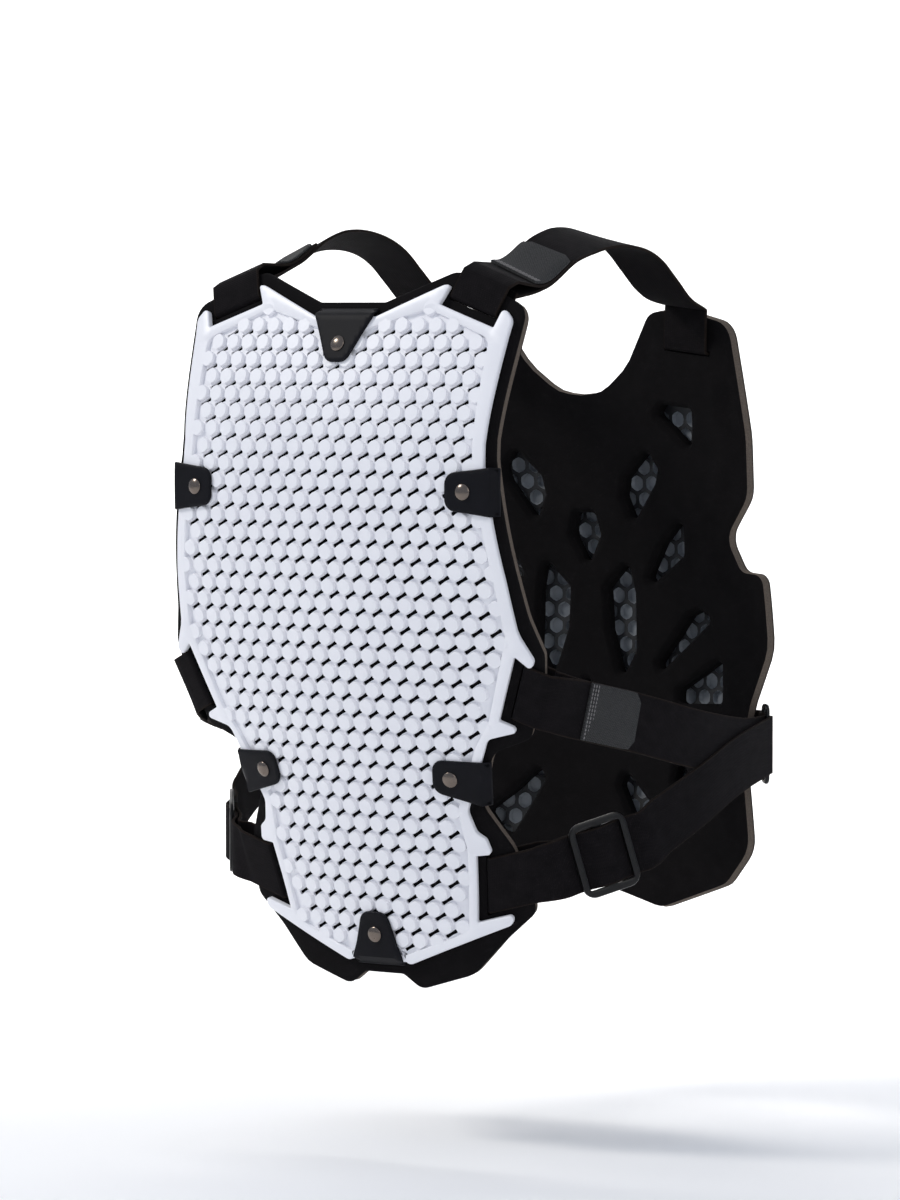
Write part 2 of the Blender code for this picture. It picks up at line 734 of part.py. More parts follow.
def perpendicular(direction, tangent):
    """Unit part of a direction that lies across a tangent."""
    return (direction - tangent * direction.dot(tangent)).normalized()


def run_line(keys, first_width, width_rule, last_width, spacing=RUN_STEP, settle=STRAP_WIDTH):
    """Stations of point, unit width and outward normal along a curve through keys."""
    line = curve_through(keys, spacing)
    length = sum((b - a).length for a, b in zip(line, line[1:]))
    found, run = [], 0.0
    for index, point in enumerate(line):
        run += (point - line[index - 1]).length if index else 0.0
        tangent = (line[min(index + 1, len(line) - 1)] - line[max(index - 1, 0)]).normalized()
        width = perpendicular(width_rule(run / length), tangent)
        start, end = max(0.0, 1 - run / settle), max(0.0, 1 - (length - run) / settle)
        width = (width.lerp(first_width, start)).lerp(last_width, end).normalized()
        found.append((point, width, width.cross(tangent).normalized()))
    return found


def between(start, end, rows, side, bulge, lift):
    """Keys from rows of way share, bulge share and lift share between two points."""
    return [start + (end - start) * way + side * (bulge * out) + Vector((0, 0, lift * up))
            for way, out, up in rows]


# Free runs of the straps: share of the way, then shares of the bulge and of the droop
SHOULDER_RUN = ((0.16, 0.18, 0), (0.328, 0.74, 0), (0.508, 1.0, 0), (0.695, 0.86, 0),
                (0.894, 0.15, 0))
WAIST_RUN = ((0.084, 0.25, -0.20), (0.33, 0.79, -0.42), (0.549, 1.0, -0.65),
             (0.823, 0.56, -0.48))
LOWER_RUN = ((0.047, 0.575, 0.20), (0.208, 0.985, 0.25), (0.472, 0.99, 0.75),
             (0.731, 0.59, 0.75))

DOWN = Vector((0, 0, -1))
SIDEWAYS = Vector((1, 0, 0))


def full(stations):
    """Give unit widths the strap's width."""
    return [(point, width.normalized() * STRAP_WIDTH) for point, width in stations]


def closing(anchor, margin_length):
    """How far apart the two layers lie, beyond touching, along the folded strap."""
    apart = anchor.spread - (STRAP + GAP) / 2

    def spread(run):
        return apart * min(1.0, max(0.0, 1 - (run - margin_length) / TAPER))
    return spread


def line_length(line):
    """Length of a line of stations."""
    return sum((b[0] - a[0]).length for a, b in zip(line, line[1:]))


def shoulder_strap(outline, rear_outline):
    """Stations of the shoulder strap, from its tail's end to the lap sewn at the rear."""
    anchor = Anchor(SHOULDER_SLOT, outline)
    rear = Anchor(REAR_SLOT, rear_outline)
    margin = anchor.margin()
    over = rear.edge + 2 * STRAP
    along, out, outward = REAR_SLOT.axes(over)
    behind = -REAR_LINER - STRAP_EASE - STRAP / 2
    landing = REAR_SLOT.solid_at(over, behind) + outward * (STRAP + GAP) / 2
    start = margin[-1][0]

    def tilted(share):
        """Width across the sloping shoulder, level again where the strap drops behind."""
        turn = SHOULDER_TILT * (1 - min(max((share - 0.40) / 0.35, 0.0), 1.0))
        return Vector((math.cos(turn), 0, -math.sin(turn)))
    keys = [start] + between(start, landing, SHOULDER_RUN, Vector((0, 0, 1)), SHOULDER_ARCH,
                             0.0) + [landing]
    free = run_line(keys, margin[-1][1], tilted, along)
    line = margin + free[1:]
    outer, inner = doubled(line, closing(anchor, line_length(margin)))
    tail = list(reversed(cut_to(outer, STRAP_TAIL)))
    reach = THREAD_FIT + SLOT_OPENING
    corner = STRAP_EASE + STRAP / 2
    along, out, outward = REAR_SLOT.axes(reach)
    lap = [(REAR_SLOT.solid_at(over * (1 - i / 3) + reach * i / 3, behind), along)
           for i in range(1, 3)]
    inner_edge = REAR_SLOT.solid_at(reach, -REAR_LINER)
    lap += [(p, along) for p in arc(inner_edge, -outward, -out, corner, math.pi / 2, 3)]
    outside = (REAR_SLOT.solid_at(reach, 0) - out * (corner + STRAP)
               + outward * (corner - STRAP))
    lap += [(p, along) for p in arc(outside, out, outward, STRAP, math.pi / 2, 3)]
    lap += [(REAR_SLOT.solid_at(-SEWN_LAP * i / 3, corner), REAR_SLOT.axes(0)[0])
            for i in range(1, 4)]
    return full(tail + anchor.turn() + inner + lap), full(tail)


def ring_axes(shell_side):
    """Direction from the ring's front bar to its webbing, and the outward side."""
    front = Vector((RING_SPREAD / 2, RING_BACK, -RING_DROP))
    back = (shell_side - front)
    back.z = 0
    back.normalize()
    return front, back, Vector((back.y, -back.x, 0))


def waist_strap(outline, front, back, side):
    """Stations of the waist strap, its tail, its upper turn and the slider's place."""
    wrap = RING_BAR / 2 + GAP + STRAP / 2
    close = (STRAP + GAP) / 2
    upper, lower = Anchor(MIDDLE_SLOT, outline), Anchor(LOWER_SLOT, outline)

    def run(anchor, rows, bulge, end, spacing):
        margin = anchor.margin()
        start = margin[-1][0]
        keys = [start] + between(start, end, rows, SIDEWAYS, bulge, WAIST_DROOP) + [end]
        return margin, margin + run_line(keys, margin[-1][1], lambda share: DOWN, DOWN,
                                         spacing)[1:]
    margin, line = run(upper, WAIST_RUN, WAIST_BULGE, front - side * (wrap - close), RUN_STEP)
    outer, inner = doubled(line, closing(upper, line_length(margin)))
    tail = list(reversed(cut_to(outer, STRAP_TAIL)))
    hairpin = [(p, DOWN) for p in arc(front, -side, back, wrap, math.pi, 6)][1:-1]
    margin, line = run(lower, LOWER_RUN, LOWER_BULGE, front + side * (wrap - close),
                       WEAVE_STEP)
    line, slider = straightened(line)
    line = [station for index, station in enumerate(line)
            if index < len(margin) or (len(line) - 1 - index) % 2 == 0
            or abs((station[0] - slider[0]).dot(slider[1])) < SLIDER_LENGTH * 0.7]
    outer, inner_end = threaded(line, slider, closing(lower, line_length(margin)))
    whole = (tail + upper.turn() + inner + hairpin + list(reversed(outer))
             + lower.turn() + inner_end)
    return full(whole), full(tail), slider


def straightened(line):
    """Make the run straight where the slider sits, and give the slider's axes."""
    runs = [0.0]
    for before, after in zip(line, line[1:]):
        runs.append(runs[-1] + (after[0] - before[0]).length)
    nearest = min(range(len(runs)), key=lambda i: abs(runs[i] - SLIDER_PLACE))
    centre, width, outward = line[nearest]
    tangent = (line[nearest + 1][0] - line[nearest - 1][0]).normalized()
    width = perpendicular(width, tangent)
    outward = width.cross(tangent)
    half = SLIDER_LENGTH / 2
    result = []
    for run, (point, own_width, own_outward) in zip(runs, line):
        offset = run - runs[nearest]
        weight = min(1.0, max(0.0, (half * 2.2 - abs(offset)) / (half * 0.9)))
        weight = weight * weight * (3 - 2 * weight)
        straight = centre + tangent * offset
        result.append((point.lerp(straight, weight), own_width.lerp(width, weight).normalized(),
                       own_outward.lerp(outward, weight).normalized()))
    return result, (centre, tangent, width, outward)


def threaded(line, slider, spread):
    """Outer layer that weaves through the slider, and the inner layer that ends on it."""
    centre, tangent = slider[0], slider[1]
    end_bar = (SLIDER_LENGTH - SLIDER_BAR) / 2
    lift = (SLIDER_THICKNESS + STRAP) / 2 + THREAD_FIT * 1.5
    beneath = lift + STRAP + 2 * THREAD_FIT
    close = (STRAP + GAP) / 2
    outer, inner, run = [], [], 0.0
    for index, (point, width, outward) in enumerate(line):
        run += (point - line[index - 1][0]).length if index else 0.0
        offset = (point - centre).dot(tangent)
        far = min(1.0, max(0.0, (abs(offset) - end_bar - SLIDER_BAR) / SLIDER_LENGTH * 2.5))
        weave = lift * math.cos(math.pi * min(abs(offset), end_bar) / end_bar)
        height = weave * (1 - far) + (close + spread(run)) * far
        outer.append((point + outward * height, width))
        if offset < SLIDER_BAR * 0.6:
            rise = min(1.0, max(0.0, (offset + end_bar) / (end_bar - SLIDER_BAR)))
            depth = beneath + (lift - beneath) * rise
            depth = depth * (1 - far) + (close + spread(run)) * far
            inner.append((point - outward * depth, width))
    return outer, inner


def raised(stations, lift):
    """Stations moved off a band along its normal, with drawn-in ends."""
    result = []
    for index, (point, width) in enumerate(stations):
        before = stations[max(index - 1, 0)][0]
        after = stations[min(index + 1, len(stations) - 1)][0]
        normal = (after - before).cross(width).normalized()
        result.append((point + normal * lift, width * 0.97))
    return result


def slider_piece(name, slider, material):
    """Flat frame with two windows, whose middle bar the strap runs over."""
    centre, tangent, width, outward = slider
    across = STRAP_WIDTH / 2 + 2 * THREAD_FIT

    def box(start, end, half, share):
        return rounded([(Vector((x, y)), share) for x, y in
                        ((start, half), (end, half), (end, -half), (start, -half))])
    half = SLIDER_LENGTH / 2
    frame = box(-half, half, across + SLIDER_BAR, 0.9)
    windows = [box(SLIDER_BAR / 2, half - SLIDER_BAR, across, 0.1),
               box(SLIDER_BAR - half, -SLIDER_BAR / 2, across, 0.1)]

    def place(flat, level):
        return (centre + tangent * flat.x + width * flat.y
                + outward * (SLIDER_THICKNESS * (level - 0.5)))
    return slab(name, frame, windows, place, material)


def ring_piece(name, front, back, material):
    """Rectangular wire ring with rounded corners, standing upright."""
    tall = STRAP_WIDTH / 2 + RING_FIT / 2 + RING_BAR / 2
    long = RING_LENGTH - RING_BAR
    corners = [(Vector((x, y)), 0.4) for x, y in
               ((0, tall), (long, tall), (long, -tall), (0, -tall))]
    loop = rounded(corners)
    middle = Vector((long / 2, 0))
    side = Vector((back.y, -back.x, 0))
    shape = bmesh.new()
    rings = []
    for index, flat in enumerate(loop):
        ahead = (loop[(index + 1) % len(loop)] - loop[index - 1]).normalized()
        away = Vector((ahead.y, -ahead.x))
        away = away if away.dot(flat - middle) > 0 else -away
        ring = []
        for step in range(WIRE_SIDES):
            angle = 2 * math.pi * (step + 0.5) / WIRE_SIDES
            bulge = away * (math.cos(angle) * RING_BAR / 2)
            spot = flat + bulge
            ring.append(shape.verts.new(front + back * spot.x + Vector((0, 0, spot.y))
                                        + side * (math.sin(angle) * RING_BAR / 2)))
        rings.append(ring)
    for first, second in zip(rings, rings[1:] + rings[:1]):
        for i in range(WIRE_SIDES):
            shape.faces.new((first[i - 1], first[i], second[i], second[i - 1]))
    return finish(name, shape, material, smooth=True)


def webbing_stations(front, back, side):
    """Webbing from the rear shell's face, round the ring's rear bar and back."""
    wrap = RING_BAR / 2 + GAP + RING_WEBBING / 2
    close = (RING_WEBBING + GAP) / 2
    bar = front + back * (RING_LENGTH - RING_BAR)
    rest = SHELL + SHELL_SEAT + GAP + RING_WEBBING + GAP / 2
    lap = []
    for share in WEBBING_LAP:
        flat = Vector((share * REAR.half, -RING_DROP))
        _, along, _, outward = REAR.frame(flat, Vector((0, -1)))
        lap.append((REAR.skin(flat.x, flat.y, rest), along, outward))
    outer = [(point + outward * close, along) for point, along, outward in lap]
    inner = [(point - outward * close, along) for point, along, outward in lap]
    turn = [(p, DOWN) for p in arc(bar, side, -back, wrap, math.pi, 6)]
    stations = outer + turn + list(reversed(inner))
    return [(point, width * (STRAP_WIDTH + RING_FIT / 3)) for point, width in stations]


def main():
    """Model every piece, each as its own object."""
    for item in list(bpy.data.objects):
        bpy.data.objects.remove(item)
    white = finish_material("moulded polypropylene", (0.88, 0.88, 0.91), 0.35)
    cloth = finish_material("laminated foam", (0.012, 0.011, 0.012), 0.9)
    elastic = finish_material("woven elastic", (0.010, 0.009, 0.011), 0.85)
    rubber = finish_material("moulded rubber", (0.012, 0.012, 0.016), 0.5)
    steel = finish_material("dark nickel", (0.10, 0.09, 0.085), 0.25, 1.0)
    plastic = finish_material("black acetal", (0.02, 0.018, 0.016), 0.3)
    hook = finish_material("hook tape", (0.04, 0.04, 0.04), 0.8)

    front_cut = rounded(mirrored(corners_at(FRONT, FRONT_LINER_CUT)))
    rear_cut = rounded(mirrored(corners_at(REAR, REAR_LINER_CUT)))
    shell_cut = front_shell_outline()
    rear_shell_cut = rear_shell_outline()

    tabs = {}
    for row in TABS:
        tabs[row[0]] = (row, *tab_outline(row, shell_cut))
    both = [(row[1] * side, row[2]) for row in TABS for side in ((1, -1) if row[1] else (1,))]
    shank_holes = [polygon(FRONT.at(x, z), RIVET_SHANK / 2 + GAP, 8) for x, z in both]
    slots = []
    for slot in (SHOULDER_SLOT, MIDDLE_SLOT, LOWER_SLOT):
        hole = slot.hole()
        slots += [hole, [Vector((-c.x, c.y)) for c in hole]]
    slab("front_liner", front_cut, slots + shank_holes,
         layer(FRONT, -FRONT_LINER, 0.0), cloth)

    covered = [outline for _, outline, _, _, _ in tabs.values()]
    covered += [[Vector((-c.x, c.y)) for c in outline] for outline in covered]
    lugs, slits = lug_lattice(FRONT, shell_cut, FRONT_LUG_PITCH, covered)
    slab("front_shell", shell_cut, shank_holes + slits,
         layer(FRONT, SHELL_SEAT, SHELL_SEAT + SHELL, LUG_RISE), white, lugs)

    for name, (row, outline, rivet, heading, edge) in tabs.items():
        bends = (edge + 2 * THREAD_FIT, edge + 2 * THREAD_FIT + SHELL)
        outline = cut_across(outline, rivet, heading, bends)
        sides = ("_left", "_right") if row[1] else ("",)
        hole = polygon(rivet, RIVET_SHANK / 2 + GAP, 8)
        tab = slab(f"{name}_tab{sides[0]}", outline, [hole],
                   tab_layer(rivet, heading, edge), rubber, step=TAB_STEP)
        pin = rivet_piece(f"{name}_rivet{sides[0]}", rivet, steel)
        if row[1]:
            other_side(tab, f"{name}_tab_right")
            other_side(pin, f"{name}_rivet_right")

    vents = []
    for vent in REAR_VENTS:
        loop = rounded([(REAR.at(x, z), 0.3) for x, z in vent])
        vents += [loop, [Vector((-c.x, c.y)) for c in loop]]
    vents += [rounded([(REAR.at(x, z), 0.3) for x, z in vent]) for vent in REAR_MIDDLE_VENTS]
    hole = REAR_SLOT.hole()
    rear_slots = [hole, [Vector((-c.x, c.y)) for c in hole]]
    slab("rear_liner", rear_cut, vents + rear_slots, layer(REAR, -REAR_LINER, 0.0), cloth)
    low = -RING_DROP - STRAP_WIDTH * 0.75
    high = -RING_DROP + STRAP_WIDTH * 0.75
    webbed = [[Vector((side * x * REAR.half, z)) for x, z in
               ((WEBBING_LAP[0] - 0.05, low), (1.0, low), (1.0, high),
                (WEBBING_LAP[0] - 0.05, high))] for side in (1, -1)]
    lugs, slits = lug_lattice(REAR, rear_shell_cut, REAR_LUG_PITCH, webbed)
    slab("rear_shell", rear_shell_cut, slits,
         layer(REAR, SHELL_SEAT, SHELL_SEAT + SHELL, LUG_RISE), white, lugs)

    stations, tail = shoulder_strap(front_cut, rear_cut)
    strap = ribbon("shoulder_strap_left", stations, STRAP, elastic)
    other_side(strap, "shoulder_strap_right")
    lift = STRAP / 2 + THREAD_FIT + HOOK_PATCH / 2
    patch = ribbon("shoulder_patch_left", raised(cut_to(tail, HOOK_PATCH_LENGTH), lift),
                   HOOK_PATCH, hook)
    other_side(patch, "shoulder_patch_right")

    shell_side = REAR.skin(WEBBING_LAP[-1] * REAR.half, -RING_DROP, SHELL)
    front, back, side = ring_axes(shell_side)
    stations, tail, slider = waist_strap(front_cut, front, back, side)
    strap = ribbon("waist_strap_left", stations, STRAP, elastic)
    other_side(strap, "waist_strap_right")
    patch = ribbon("waist_patch_left", raised(cut_to(tail, HOOK_PATCH_LENGTH), lift),
                   HOOK_PATCH, hook)
    other_side(patch, "waist_patch_right")
    frame = slider_piece("slider_left", slider, plastic)
    other_side(frame, "slider_right")
    ring = ring_piece("ring_left", front, back, plastic)
    other_side(ring, "ring_right")
    webbing = ribbon("ring_webbing_left", webbing_stations(front, back, side),
                     RING_WEBBING, elastic)
    other_side(webbing, "ring_webbing_right")


main()
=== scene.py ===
"""Dressed model of an off-road rider's chest protector, for rendering.

It is built up as the real one is assembled: the two padded liners, the two moulded shells
that lie on them, the riveted tabs that hold the front shell, and the elastic straps with
their patches, sliders and rings. -Y is the front, +X the wearer's left. Sizes in metres.
"""

import math

import bmesh
import bpy
import numpy as np
from mathutils import Matrix, Vector
from mathutils.geometry import delaunay_2d_cdt


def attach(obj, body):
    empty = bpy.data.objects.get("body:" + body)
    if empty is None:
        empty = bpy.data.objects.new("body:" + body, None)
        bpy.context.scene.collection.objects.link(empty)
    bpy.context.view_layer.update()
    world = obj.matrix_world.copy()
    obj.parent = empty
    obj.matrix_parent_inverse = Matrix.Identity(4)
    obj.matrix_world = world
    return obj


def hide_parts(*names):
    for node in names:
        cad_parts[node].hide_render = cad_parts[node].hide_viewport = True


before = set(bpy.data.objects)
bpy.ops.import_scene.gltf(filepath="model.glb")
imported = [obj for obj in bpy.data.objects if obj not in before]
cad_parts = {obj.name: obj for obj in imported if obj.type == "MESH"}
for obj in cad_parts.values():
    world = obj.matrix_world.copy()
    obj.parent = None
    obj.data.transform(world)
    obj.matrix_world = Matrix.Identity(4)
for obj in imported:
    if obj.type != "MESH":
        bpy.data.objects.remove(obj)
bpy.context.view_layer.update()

# Camera: a long lens in front of the wearer's left side, a little above the middle.
camera = bpy.data.objects.new("camera", bpy.data.cameras.new("camera"))
bpy.context.collection.objects.link(camera)
bpy.context.scene.camera = camera
camera.location = (2.175, -3.113, -0.052)
camera.rotation_euler = (math.pi / 2 - math.radians(2.965), 0, math.radians(35))
camera.data.lens = 165
camera.data.sensor_fit = "VERTICAL"
camera.data.sensor_width = 36
camera.data.sensor_height = 36
bpy.context.scene.view_settings.view_transform = "Standard"


def linear(code):
    """Linear colour with alpha from an sRGB hex code."""
    values = [int(code[i:i + 2], 16) / 255 for i in (0, 2, 4)]
    return [v / 12.92 if v <= 0.04045 else ((v + 0.055) / 1.055) ** 2.4 for v in values] + [1]


def finish(name, colour, roughness, metallic=0.0, specular=0.5):
    """New Principled material and its node tree and shader."""
    material = bpy.data.materials.new(name)
    material.use_nodes = True
    shader = material.node_tree.nodes["Principled BSDF"]
    shader.inputs["Base Color"].default_value = linear(colour)
    shader.inputs["Roughness"].default_value = roughness
    shader.inputs["Metallic"].default_value = metallic
    shader.inputs["Specular IOR Level"].default_value = specular
    return material, material.node_tree, shader


def add(tree, kind, links=(), **settings):
    """New node with its settings, and values or other nodes' sockets on its inputs."""
    made = tree.nodes.new(kind)
    for key, value in settings.items():
        setattr(made, key, value)
    for key, value in dict(links).items():
        if isinstance(value, bpy.types.NodeSocket):
            tree.links.new(value, made.inputs[key])
        else:
            made.inputs[key].default_value = value
    return made


# Studio: a pale floor that sweeps up into a wall, white light all round, and soft lamps.
# The protector is held up, so the floor lies well under it.
FLOOR_DROP = 0.62
FLOOR_REACH = 9.0
SWEEP_START = 3.0
SWEEP_RADIUS = 1.6
SWEEP_STEPS = 12
profile = [(-FLOOR_REACH, 0.0), (SWEEP_START, 0.0)]
profile += [(SWEEP_START + SWEEP_RADIUS * math.sin(a), SWEEP_RADIUS * (1 - math.cos(a)))
            for a in (math.pi / 2 / SWEEP_STEPS * i for i in range(1, SWEEP_STEPS + 1))]
profile.append((SWEEP_START + SWEEP_RADIUS, FLOOR_REACH))
sweep = bmesh.new()
row = [sweep.verts.new((-FLOOR_REACH, y, z)) for y, z in profile]
edges = [sweep.edges.new(pair) for pair in zip(row, row[1:])]
drawn = bmesh.ops.extrude_edge_only(sweep, edges=edges)["geom"]
bmesh.ops.translate(sweep, vec=(2 * FLOOR_REACH, 0, 0),
                    verts=[v for v in drawn if isinstance(v, bmesh.types.BMVert)])
bmesh.ops.translate(sweep, vec=(0, 0, -FLOOR_DROP), verts=sweep.verts)
bmesh.ops.rotate(sweep, cent=(0, 0, 0), verts=sweep.verts,
                 matrix=Matrix.Rotation(camera.rotation_euler.z, 3, "Z"))
bmesh.ops.recalc_face_normals(sweep, faces=sweep.faces)
floor_mesh = bpy.data.meshes.new("floor")
sweep.to_mesh(floor_mesh)
sweep.free()
floor_mesh.shade_smooth()
floor = bpy.data.objects.new("floor", floor_mesh)
bpy.context.collection.objects.link(floor)
# Seamless paper: white and dull, so the shadow on it is soft and the wall has no shine.
floor_mesh.materials.append(finish("seamless paper", "f8f8f8", 0.95)[0])

world = bpy.data.worlds.new("studio")
bpy.context.scene.world = world
world.use_nodes = True
world.node_tree.nodes["Background"].inputs["Color"].default_value = linear("dfe9fb")
world.node_tree.nodes["Background"].inputs["Strength"].default_value = 0.57

# Lamps, slightly warm: name, place, what they face, size and power in watts
LAMP_COLOUR = (1.0, 0.965, 0.91)
LAMPS = (
    ("key", (-1.9, -1.7, 1.9), (0.0, -0.1, -0.2), 0.7, 42.0),
    ("fill", (2.6, -1.4, 1.0), (0.0, 0.0, -0.2), 1.6, 14.0),
    ("rim", (1.4, 2.4, 1.6), (0.0, 0.1, -0.2), 1.4, 8.0),
    ("sweep", (-1.6, 1.4, 2.4), (-2.0, 3.6, 0.4), 2.4, 150.0),
)
for name, place, target, size, power in LAMPS:
    lamp = bpy.data.lights.new(name, "AREA")
    lamp.size = size
    lamp.energy = power
    lamp.color = LAMP_COLOUR
    holder = bpy.data.objects.new(name, lamp)
    holder.location = place
    holder.rotation_euler = (Vector(target) - Vector(place)).to_track_quat("-Z", "Y").to_euler()
    bpy.context.collection.objects.link(holder)

# Padded liners: foam sheet laminated with black knitted cloth, cut out and heat-formed to
# the chest and the back. The cloth rolls over the front of the cut edge, and bare foam shows
# behind it. A panel's top lies its drop below the origin, and its skin its reach before or
# behind it.
FRONT_WIDTH = 0.306
FRONT_HEIGHT = 0.487
FRONT_DROP = 0.022
FRONT_REACH = 0.150
FRONT_LINER = 0.008
CHEST_RISE = 0.064
FRONT_SIDE_FALL = 0.035
REAR_WIDTH = 0.342
REAR_HEIGHT = 0.424
REAR_DROP = 0.047
REAR_REACH = 0.175
REAR_LINER = 0.011
BACK_RISE = 0.021
REAR_SIDE_FALL = 0.030
STRAP_WIDTH = 0.040
SLOT_CLEARANCE = 0.0035
SLOT_OPENING = 0.009
THREAD_FIT = 0.0005
CORNER = 0.010
ARC_STEP = math.radians(14)

# How the front panel bends: share of its height from the bottom, how far it lies behind
# its most forward point as a share of CHEST_RISE, and how far its sides fall back as a
# share of FRONT_SIDE_FALL
FRONT_BENDS = (
    (0.00, 1.02, 1.00),
    (0.10, 0.93, 1.00),
    (0.27, 0.58, 0.82),
    (0.44, 0.25, 0.64),
    (0.60, 0.035, 0.44),
    (0.70, 0.00, 0.35),
    (0.80, 0.08, 0.31),
    (0.94, 0.41, 0.30),
    (1.00, 0.56, 0.30),
)

# How the rear panel bends, with BACK_RISE and REAR_SIDE_FALL
REAR_BENDS = (
    (0.00, 0.92, 1.00),
    (0.16, 0.43, 1.00),
    (0.30, 0.14, 1.00),
    (0.50, 0.00, 1.00),
    (0.65, 0.20, 1.00),
    (0.80, 0.45, 0.95),
    (1.00, 1.00, 0.90),
)


def beside(items, index):
    """The items before and after one, or itself at an end."""
    return items[max(index - 1, 0)], items[min(index + 1, len(items) - 1)]


def hermite(t, start, lead, end, trail):
    """Smooth curve from start to end, leaving along lead and arriving along trail."""
    return ((2 * t ** 3 - 3 * t ** 2 + 1) * start + (t ** 3 - 2 * t ** 2 + t) * lead
            + (3 * t ** 2 - 2 * t ** 3) * end + (t ** 3 - t ** 2) * trail)


def eased(share):
    """A share held between 0 and 1, with a soft start and end."""
    share = min(max(share, 0.0), 1.0)
    return share * share * (3 - 2 * share)


class Panel:
    """One curved side of the protector. Its skin is the liner's shell side."""

    def __init__(self, facing, width, height, drop, reach, rise, fall, bends):
        self.facing = facing
        self.half = width / 2
        self.height = height
        self.bottom = -drop - height
        self.reach = reach
        self.rise = rise
        self.fall = fall
        self.bends = bends

    def at(self, x_share, z_share):
        """Flat place from shares of the half width and of the height."""
        return Vector((x_share * self.half, self.bottom + z_share * self.height))

    def depth(self, x, z):
        """How far forward or back the skin stands at a flat place."""
        share = (z - self.bottom) / self.height
        back = smooth_table(self.bends, 1, share) * self.rise
        fall = smooth_table(self.bends, 2, share) * self.fall
        return self.facing * (self.reach - back - fall * (x / self.half) ** 2)

    def skin(self, x, z, out=0.0):
        """Point at a flat place, moved out from the wearer along the skin's normal."""
        step = 0.001
        slope_x = (self.depth(x + step, z) - self.depth(x - step, z)) / (2 * step)
        slope_z = (self.depth(x, z + step) - self.depth(x, z - step)) / (2 * step)
        normal = Vector((-slope_x, 1.0, -slope_z)).normalized() * self.facing
        return Vector((x, self.depth(x, z), z)) + normal * out

    def frame(self, flat, heading):
        """Centre, heading on the skin, direction across it, and the outward normal."""
        step = 0.002
        centre = self.skin(flat.x, flat.y)
        ahead = self.skin(flat.x + heading.x * step, flat.y + heading.y * step)
        outward = (self.skin(flat.x, flat.y, step) - centre).normalized()
        along = (ahead - centre)
        along = (along - outward * along.dot(outward)).normalized()
        return centre, along, outward.cross(along), outward


def smooth_table(rows, column, share):
    """Read a column of a table at a share between its rows, with a smooth curve."""
    share = min(max(share, rows[0][0]), rows[-1][0])
    place = 0
    while place < len(rows) - 2 and share > rows[place + 1][0]:
        place += 1
    low, high = rows[place], rows[place + 1]

    def slope(index):
        before, after = beside(rows, index)
        return (after[column] - before[column]) / (after[0] - before[0])

    span = high[0] - low[0]
    return hermite((share - low[0]) / span, low[column], slope(place) * span,
                   high[column], slope(place + 1) * span)


FRONT = Panel(-1, FRONT_WIDTH, FRONT_HEIGHT, FRONT_DROP, FRONT_REACH, CHEST_RISE,
              FRONT_SIDE_FALL, FRONT_BENDS)
REAR = Panel(1, REAR_WIDTH, REAR_HEIGHT, REAR_DROP, REAR_REACH, BACK_RISE,
             REAR_SIDE_FALL, REAR_BENDS)


class Slot:
    """Slot for a strap. Its inner edge is centred on a flat place of the panel."""

    def __init__(self, panel, x_share, z_share, turn, lead):
        self.panel = panel
        self.centre = panel.at(x_share, z_share)
        angle, leave = math.radians(turn), math.radians(lead)
        self.along = Vector((math.cos(angle), math.sin(angle)))
        self.out = Vector((math.cos(leave), math.sin(leave)))
        self.half = STRAP_WIDTH / 2 + SLOT_CLEARANCE

    def at(self, along, out):
        """Flat place: along in shares of the half length, out in metres."""
        return self.centre + self.along * (along * self.half) + self.out * out

    def solid_at(self, out, height):
        """Point over the middle of the slot, out along the panel and above its skin."""
        flat = self.at(0, out)
        return self.panel.skin(flat.x, flat.y, height)

    def axes(self, out):
        """Directions along the slot, out of it and away from the wearer."""
        centre, along, _, outward = self.panel.frame(self.at(0, out), self.along)
        return along, (self.solid_at(out + 0.002, 0) - centre).normalized(), outward


SHOULDER_SLOT = Slot(FRONT, 0.621, 0.935, -19.5, 70.5)
MIDDLE_SLOT = Slot(FRONT, 0.819, 0.434, -112.0, -22.0)
LOWER_SLOT = Slot(FRONT, 0.526, 0.150, -98.5, 14.5)
REAR_SLOT = Slot(REAR, 0.602, 0.915, -6.0, 84.0)


def rounded(corners):
    """Outline with each corner rounded: corners are (flat place, radius share of CORNER)."""
    outline = []
    count = len(corners)
    for index, (corner, share) in enumerate(corners):
        before = corners[index - 1][0] - corner
        after = corners[(index + 1) % count][0] - corner
        radius = share * CORNER
        angle = before.angle(after)
        if radius == 0 or math.pi - angle < 0.02:
            outline.append(corner)
            continue
        reach = radius / math.tan(angle / 2)
        reach = min(reach, before.length * 0.48, after.length * 0.48)
        radius = reach * math.tan(angle / 2)
        start = corner + before.normalized() * reach
        end = corner + after.normalized() * reach
        middle = corner + (before.normalized() + after.normalized()).normalized() * (
            radius / math.sin(angle / 2))
        turn = (start - middle).angle_signed(end - middle)
        steps = max(1, round(abs(turn) / ARC_STEP))
        arm = start - middle
        for step in range(steps + 1):
            bend = -turn * step / steps
            outline.append(middle + Vector((
                arm.x * math.cos(bend) - arm.y * math.sin(bend),
                arm.x * math.sin(bend) + arm.y * math.cos(bend))))
    return outline


def mirrored(corners):
    """Whole outline from the corners of its +X half, listed from the top down."""
    return corners + [(Vector((-c.x, c.y)), r) for c, r in reversed(corners) if c.x > 1e-9]


def corners_at(panel, rows, inset=(0.0, 0.0, 0.0)):
    """Corners from rows of x share, z share and radius share, inside a border."""
    side, top, bottom = inset
    return [(Vector((x * (panel.half - side),
                     panel.bottom + bottom + z * (panel.height - top - bottom))), r)
            for x, z, r in rows]


